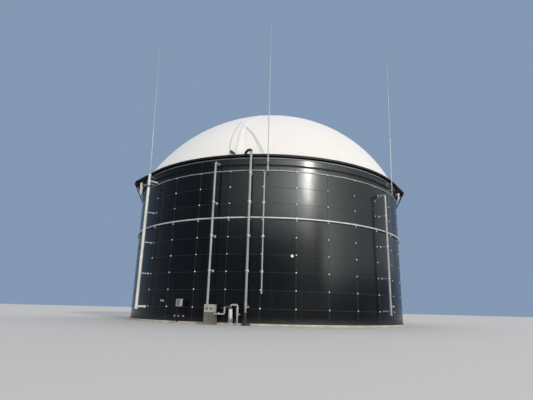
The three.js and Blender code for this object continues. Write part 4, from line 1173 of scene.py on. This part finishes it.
UNION = [
    (0.058, -1), (0.066, -0.94), (0.066, -0.53), (0.074, -0.35), (0.074, 0.35), (0.066, 0.53), (0.066, 0.94),
    (0.058, 1),
]
valve = Form()
valve_place = at(-2.755, POT_Y, HIGH_RUN)
for half, place in ((0.125, valve_place @ SIDEWAYS), (0.076, at(POT_X, POT_Y, 1.11))):
    valve.spun([(r, z * half) for r, z in UNION], 24, place)
valve.spun([(0.022, 0.05), (0.022, 0.085), (0.03, 0.088), (0.03, 0.1)], 16, valve_place)
valve.block((-0.15, 0.02), (-0.012, 0.012), (0.098, 0.108), 0.003, valve_place)
valve.piece("transfer_valve", dark_rubber, "dark_steel")

SIPHON_X = -2.121
SIPHON_TOP = 1.285
SLEEVE = [(0.06, 0.56), (0.076, 0.565), (0.08, 0.575), (0.08, 1.13), (0.074, 1.145), (0.062, 1.15)]
FOOT_RING = [(0.1, 0), (0.1, 0.012), (0.097, 0.015), (0.06, 0.016), (0.056, 0.04)]
siphon = Form()
siphon_corners = [(POT_X, 1.0103), (POT_X, SIPHON_TOP), (SIPHON_X, SIPHON_TOP), (SIPHON_X, 0.56)]
siphon.pipe(bent_path([(x, POT_Y, z) for x, z in siphon_corners], 0.11, 9), 0.06, 24)
sleeve_place = at(SIPHON_X, POT_Y, 0)
siphon.spun(SLEEVE, 28, sleeve_place)
siphon.pipe([(0, 0, 0.004), (0, 0, 0.57)], 0.052, 20, sleeve_place)
siphon.spun(FOOT_RING, 28, sleeve_place)
siphon.pipe([(0, 0, 0.69), (0.2, 0, 0.69)], 0.03, 16, sleeve_place)
siphon.spun([(0.032, 0), (0.032, 0.03), (0.028, 0.034)], 16, sleeve_place @ at(0.164, 0, 0.69) @ SIDEWAYS)
socket(siphon, at(-2.34, POT_Y, SIPHON_TOP) @ SIDEWAYS, 0.06, 0.07)
siphon.piece("siphon_pipe_run", grey_plastic, "white_pipe", "siphon_pipe")
for number in range(4):
    hex_bolt(group_bolts, rotated(sleeve_place, 45 + 90 * number) @ at(0.083, 0, 0.015), 0.008)
group_bolts.piece("condensate_legs_and_bolts", bright_zinc, "galvanised_steel")

# Control cabinet: a sheet-steel box with a rain hood and a darker door, on top of a square steel post.
# The post stands on a small concrete foot beside the kerb, and its cable glands hang under the box.
CABINET_HALF = 0.19
CABINET_BACK = 0.37
CABINET_FRONT = 0.6
CABINET_LOW = 1.115
CABINET_TOP = 1.61
cabinet_place = on_wall(-29.2)
post_foot = Form()
rows = []
for level, inset in ((0, 0), (0.08, 0), (0.09, 0.01)):
    left, right, near, far = -0.245 + inset, 0.015 - inset, -0.152, -0.58 + inset
    rows.append([(left, far, level), (right, far, level), (right, near, level), (left, near, level)])
post_foot.skin(rows, cabinet_place)
post_foot.piece("post_foot_cast", slab_concrete, "concrete", "post_foot")
cabinet_post = Form()
cabinet_post.block((-0.155, -0.075), (-0.525, -0.445), (0.0903, CABINET_LOW - 0.0003), 0.008, cabinet_place)
cabinet_post.block((-0.2, -0.03), (-0.565, -0.405), (0.0903, 0.1), 0.002, cabinet_place)
for x in (-0.185, -0.045):
    for y in (-0.547, -0.423):
        hex_bolt(cabinet_post, cabinet_place @ at(x, y, 0.1), 0.01)
cabinet_post.piece("cabinet_post_tube", dark_paint, "dark_steel", "cabinet_post")

cabinet = Form()
body_front = -CABINET_FRONT + 0.02
body_levels = (CABINET_LOW, CABINET_TOP - 0.02)
cabinet.block((-CABINET_HALF, CABINET_HALF), (body_front, -CABINET_BACK), body_levels, 0.004, cabinet_place)
for across, levels in (
    ((-CABINET_HALF, -CABINET_HALF + 0.035), (CABINET_LOW, CABINET_TOP - 0.03)),
    ((CABINET_HALF - 0.035, CABINET_HALF), (CABINET_LOW, CABINET_TOP - 0.03)),
    ((-CABINET_HALF, CABINET_HALF), (CABINET_LOW, CABINET_LOW + 0.035)),
    ((-CABINET_HALF, CABINET_HALF), (CABINET_TOP - 0.065, CABINET_TOP - 0.03)),
):
    cabinet.block(across, (-CABINET_FRONT, body_front + 0.004), levels, 0.002, cabinet_place)
hood = [
    (-CABINET_FRONT - 0.02, CABINET_TOP - 0.03), (-CABINET_FRONT - 0.02, CABINET_TOP - 0.018),
    (-CABINET_BACK, CABINET_TOP), (-CABINET_BACK, CABINET_TOP - 0.03),
]
hood_ends = (-CABINET_HALF - 0.012, CABINET_HALF + 0.012)
cabinet.skin([[(x, y, level) for y, level in hood] for x in hood_ends], cabinet_place)
cabinet.piece("control_cabinet_case", box_paint, "painted_box", "control_cabinet")

door_paint = Finish("grey_door_paint", Roughness=0.5)
chalked = door_paint.noise(5, 5).band(0.4, 0.75)
door_paint.wear(
    Base_Color=door_paint.tint(chalked, (0.13, 0.135, 0.13), (0.2, 0.19, 0.17)),
    Normal=door_paint.bump(door_paint.noise(60, 2), 0.0003),
)
door = Form()
door.block(
    (-CABINET_HALF + 0.038, CABINET_HALF - 0.038), (-CABINET_FRONT + 0.004, -CABINET_FRONT + 0.022),
    (CABINET_LOW + 0.038, CABINET_TOP - 0.068), 0.003, cabinet_place,
)
lock = cabinet_place @ at(0.12, -CABINET_FRONT + 0.004, 1.36) @ OUTWARD
door.spun([(0.018, 0), (0.018, 0.006), (0.01, 0.012)], 16, lock)
hinge_x = -CABINET_HALF + 0.036
for level in (CABINET_LOW + 0.09, CABINET_TOP - 0.12):
    hinge = [(hinge_x, -CABINET_FRONT, level), (hinge_x, -CABINET_FRONT, level + 0.05)]
    door.pipe(hinge, 0.007, 10, cabinet_place)
for x in (-0.02, 0.05, 0.12):
    gland = cabinet_place @ at(x, -CABINET_FRONT + 0.08, CABINET_LOW - 0.024)
    door.spun([(0.011, 0), (0.014, 0.004), (0.014, 0.016), (0.018, 0.017), (0.018, 0.0245)], 12, gland)
door.piece("cabinet_door", door_paint, "painted_box")

# Nozzles: three short flanged stubs low on the wall, each with a bolted blank, and a longer
# sampling stub above them to the left.
nozzle_bolts = Form()


def nozzle(name, node, azimuth, radius, reach, level):
    form = Form()
    place = on_wall(azimuth, 0, level)
    form.pipe([(0, -PLATE_FACE, 0), (0, 0.02 - reach, 0)], radius, 20, place)
    for y, size, thickness, count in (
        (-PLATE_FACE, 1.68, 0.012, 8), (0.03 - reach, 1.54, 0.012, 0), (0.017 - reach, 1.54, 0.014, 6)
    ):
        flange(form, nozzle_bolts, place @ at(0, y, 0) @ OUTWARD, size * radius, thickness, count, 0.006)
    form.piece(name, grey_plastic, "white_pipe", node)


for number, azimuth in enumerate((-32.6, -30.9, -28.9), 1):
    nozzle(f"nozzle_{number}_stub", f"nozzle_{number}", azimuth, radius=0.036, reach=0.07, level=0.475)
nozzle("sampling_stub_flanged", "sampling_stub", -38.7, radius=0.05, reach=0.24, level=1.49)
nozzle_bolts.piece("nozzle_bolts", bright_zinc, "galvanised_steel")

# Relief valves: on each flank an off-white pot with a cone bottom hangs on a gas pipe from the top
# tier. By it, knee brackets of dark angle carry a small plate deck, level with the rim.
BRACKET_TOP = WALL_TOP - 0.06
DECK_METAL = 0.012
DECK_INNER = WALL_RADIUS + RIM_REACH + 0.004
relief_bolts = Form()


def angle_bar(form, start, end, place, leg=0.062, metal=0.008):
    """A rolled angle between two points, with its flat leg up or outwards."""
    start, end = Vector(start), Vector(end)
    along = (end - start).normalized()
    side = along.cross(Vector((0, 0, 1)))
    side = side.normalized() if side.length > 0.01 else Vector((1, 0, 0))
    over = side.cross(along)
    section = [(0, 0), (leg, 0), (leg, -metal), (metal, -metal), (metal, -leg), (0, -leg)]
    ring = [side * (a - leg / 2) + over * (b + leg / 2) for a, b in section]
    form.skin([[point + offset for offset in ring] for point in (start, end)], place)


def relief_deck(flank, azimuth, reach, drop, half, spread):
    form = Form()
    place = on_wall(azimuth, -WALL_RADIUS)
    top, knee = BRACKET_TOP, BRACKET_TOP - drop
    wall, middle, outer = -WALL_RADIUS - 0.016, -WALL_RADIUS - reach / 2, -WALL_RADIUS - reach
    arc = [radians(spread * (1 - step / 8)) for step in range(17)]
    rim_edge = [(DECK_INNER * sin(turn), -DECK_INNER * cos(turn)) for turn in arc]
    rim_x, rim_y = rim_edge[0]
    for side in (-1, 1):
        x = side * half
        angle_bar(form, (x, -DECK_INNER, top), (x, outer + 0.005, top), place)
        angle_bar(form, (x, outer + 0.04, top), (x, wall, knee), place)
        angle_bar(form, (x, middle, top), (x, middle, top - drop / 2), place)
        angle_bar(form, (x, outer + 0.02, top), (side * rim_x, rim_y, top), place)
        foot = (wall - 0.004, wall + 0.008)
        form.block((x - 0.06, x + 0.06), foot, (knee - 0.04, knee + 0.1), 0.003, place)
    angle_bar(form, (-half, outer + 0.02, top), (half, outer + 0.02, top), place)
    corners = [(-half, outer), (half, outer), *rim_edge]
    levels = (WALL_TOP - DECK_METAL, WALL_TOP)
    form.skin([[(*corner, level) for corner in corners] for level in levels], place)
    form.piece(f"relief_bracket_{flank}_frame", dark_paint, "dark_steel", f"relief_bracket_{flank}")


def relief_pot(flank, azimuth, standoff, radius, tip, shoulder):
    form = Form()
    place = on_wall(azimuth, standoff)
    profile = [
        (0.4 * radius, tip), (0.45 * radius, tip + 0.02), (0.97 * radius, shoulder - 0.02),
        (radius, shoulder + 0.02), (radius, 11.1), (radius + 0.006, 11.105), (radius + 0.006, 11.125),
        (radius, 11.13), (radius, 11.49),
    ]
    form.spun(profile, 28, place)
    flange(form, relief_bolts, place @ at(0, 0, 11.485), radius + 0.024, 0.024, 10)
    wall_side = on_wall(azimuth, 0, 11.37)
    form.pipe([(0, -standoff, 0), (0, -PLATE_FACE, 0)], 0.55 * radius, 24, wall_side)
    flange(form, relief_bolts, wall_side @ at(0, -PLATE_FACE, 0) @ OUTWARD, 0.81 * radius, 0.02)
    form.piece(f"relief_valve_{flank}_pot", pipe_plastic, "white_pipe", f"relief_valve_{flank}")


relief_deck("left", -69.6, reach=0.865, drop=1.63, half=0.42, spread=15.6)
relief_deck("right", 74.5, reach=0.775, drop=1.345, half=0.33, spread=17.5)
relief_pot("left", -63.5, 0.42, radius=0.13, tip=10.42, shoulder=10.64)
relief_pot("right", 68, 0.27, radius=0.09, tip=10.87, shoulder=11.02)
relief_bolts.piece("relief_valve_bolts", bright_zinc, "galvanised_steel")
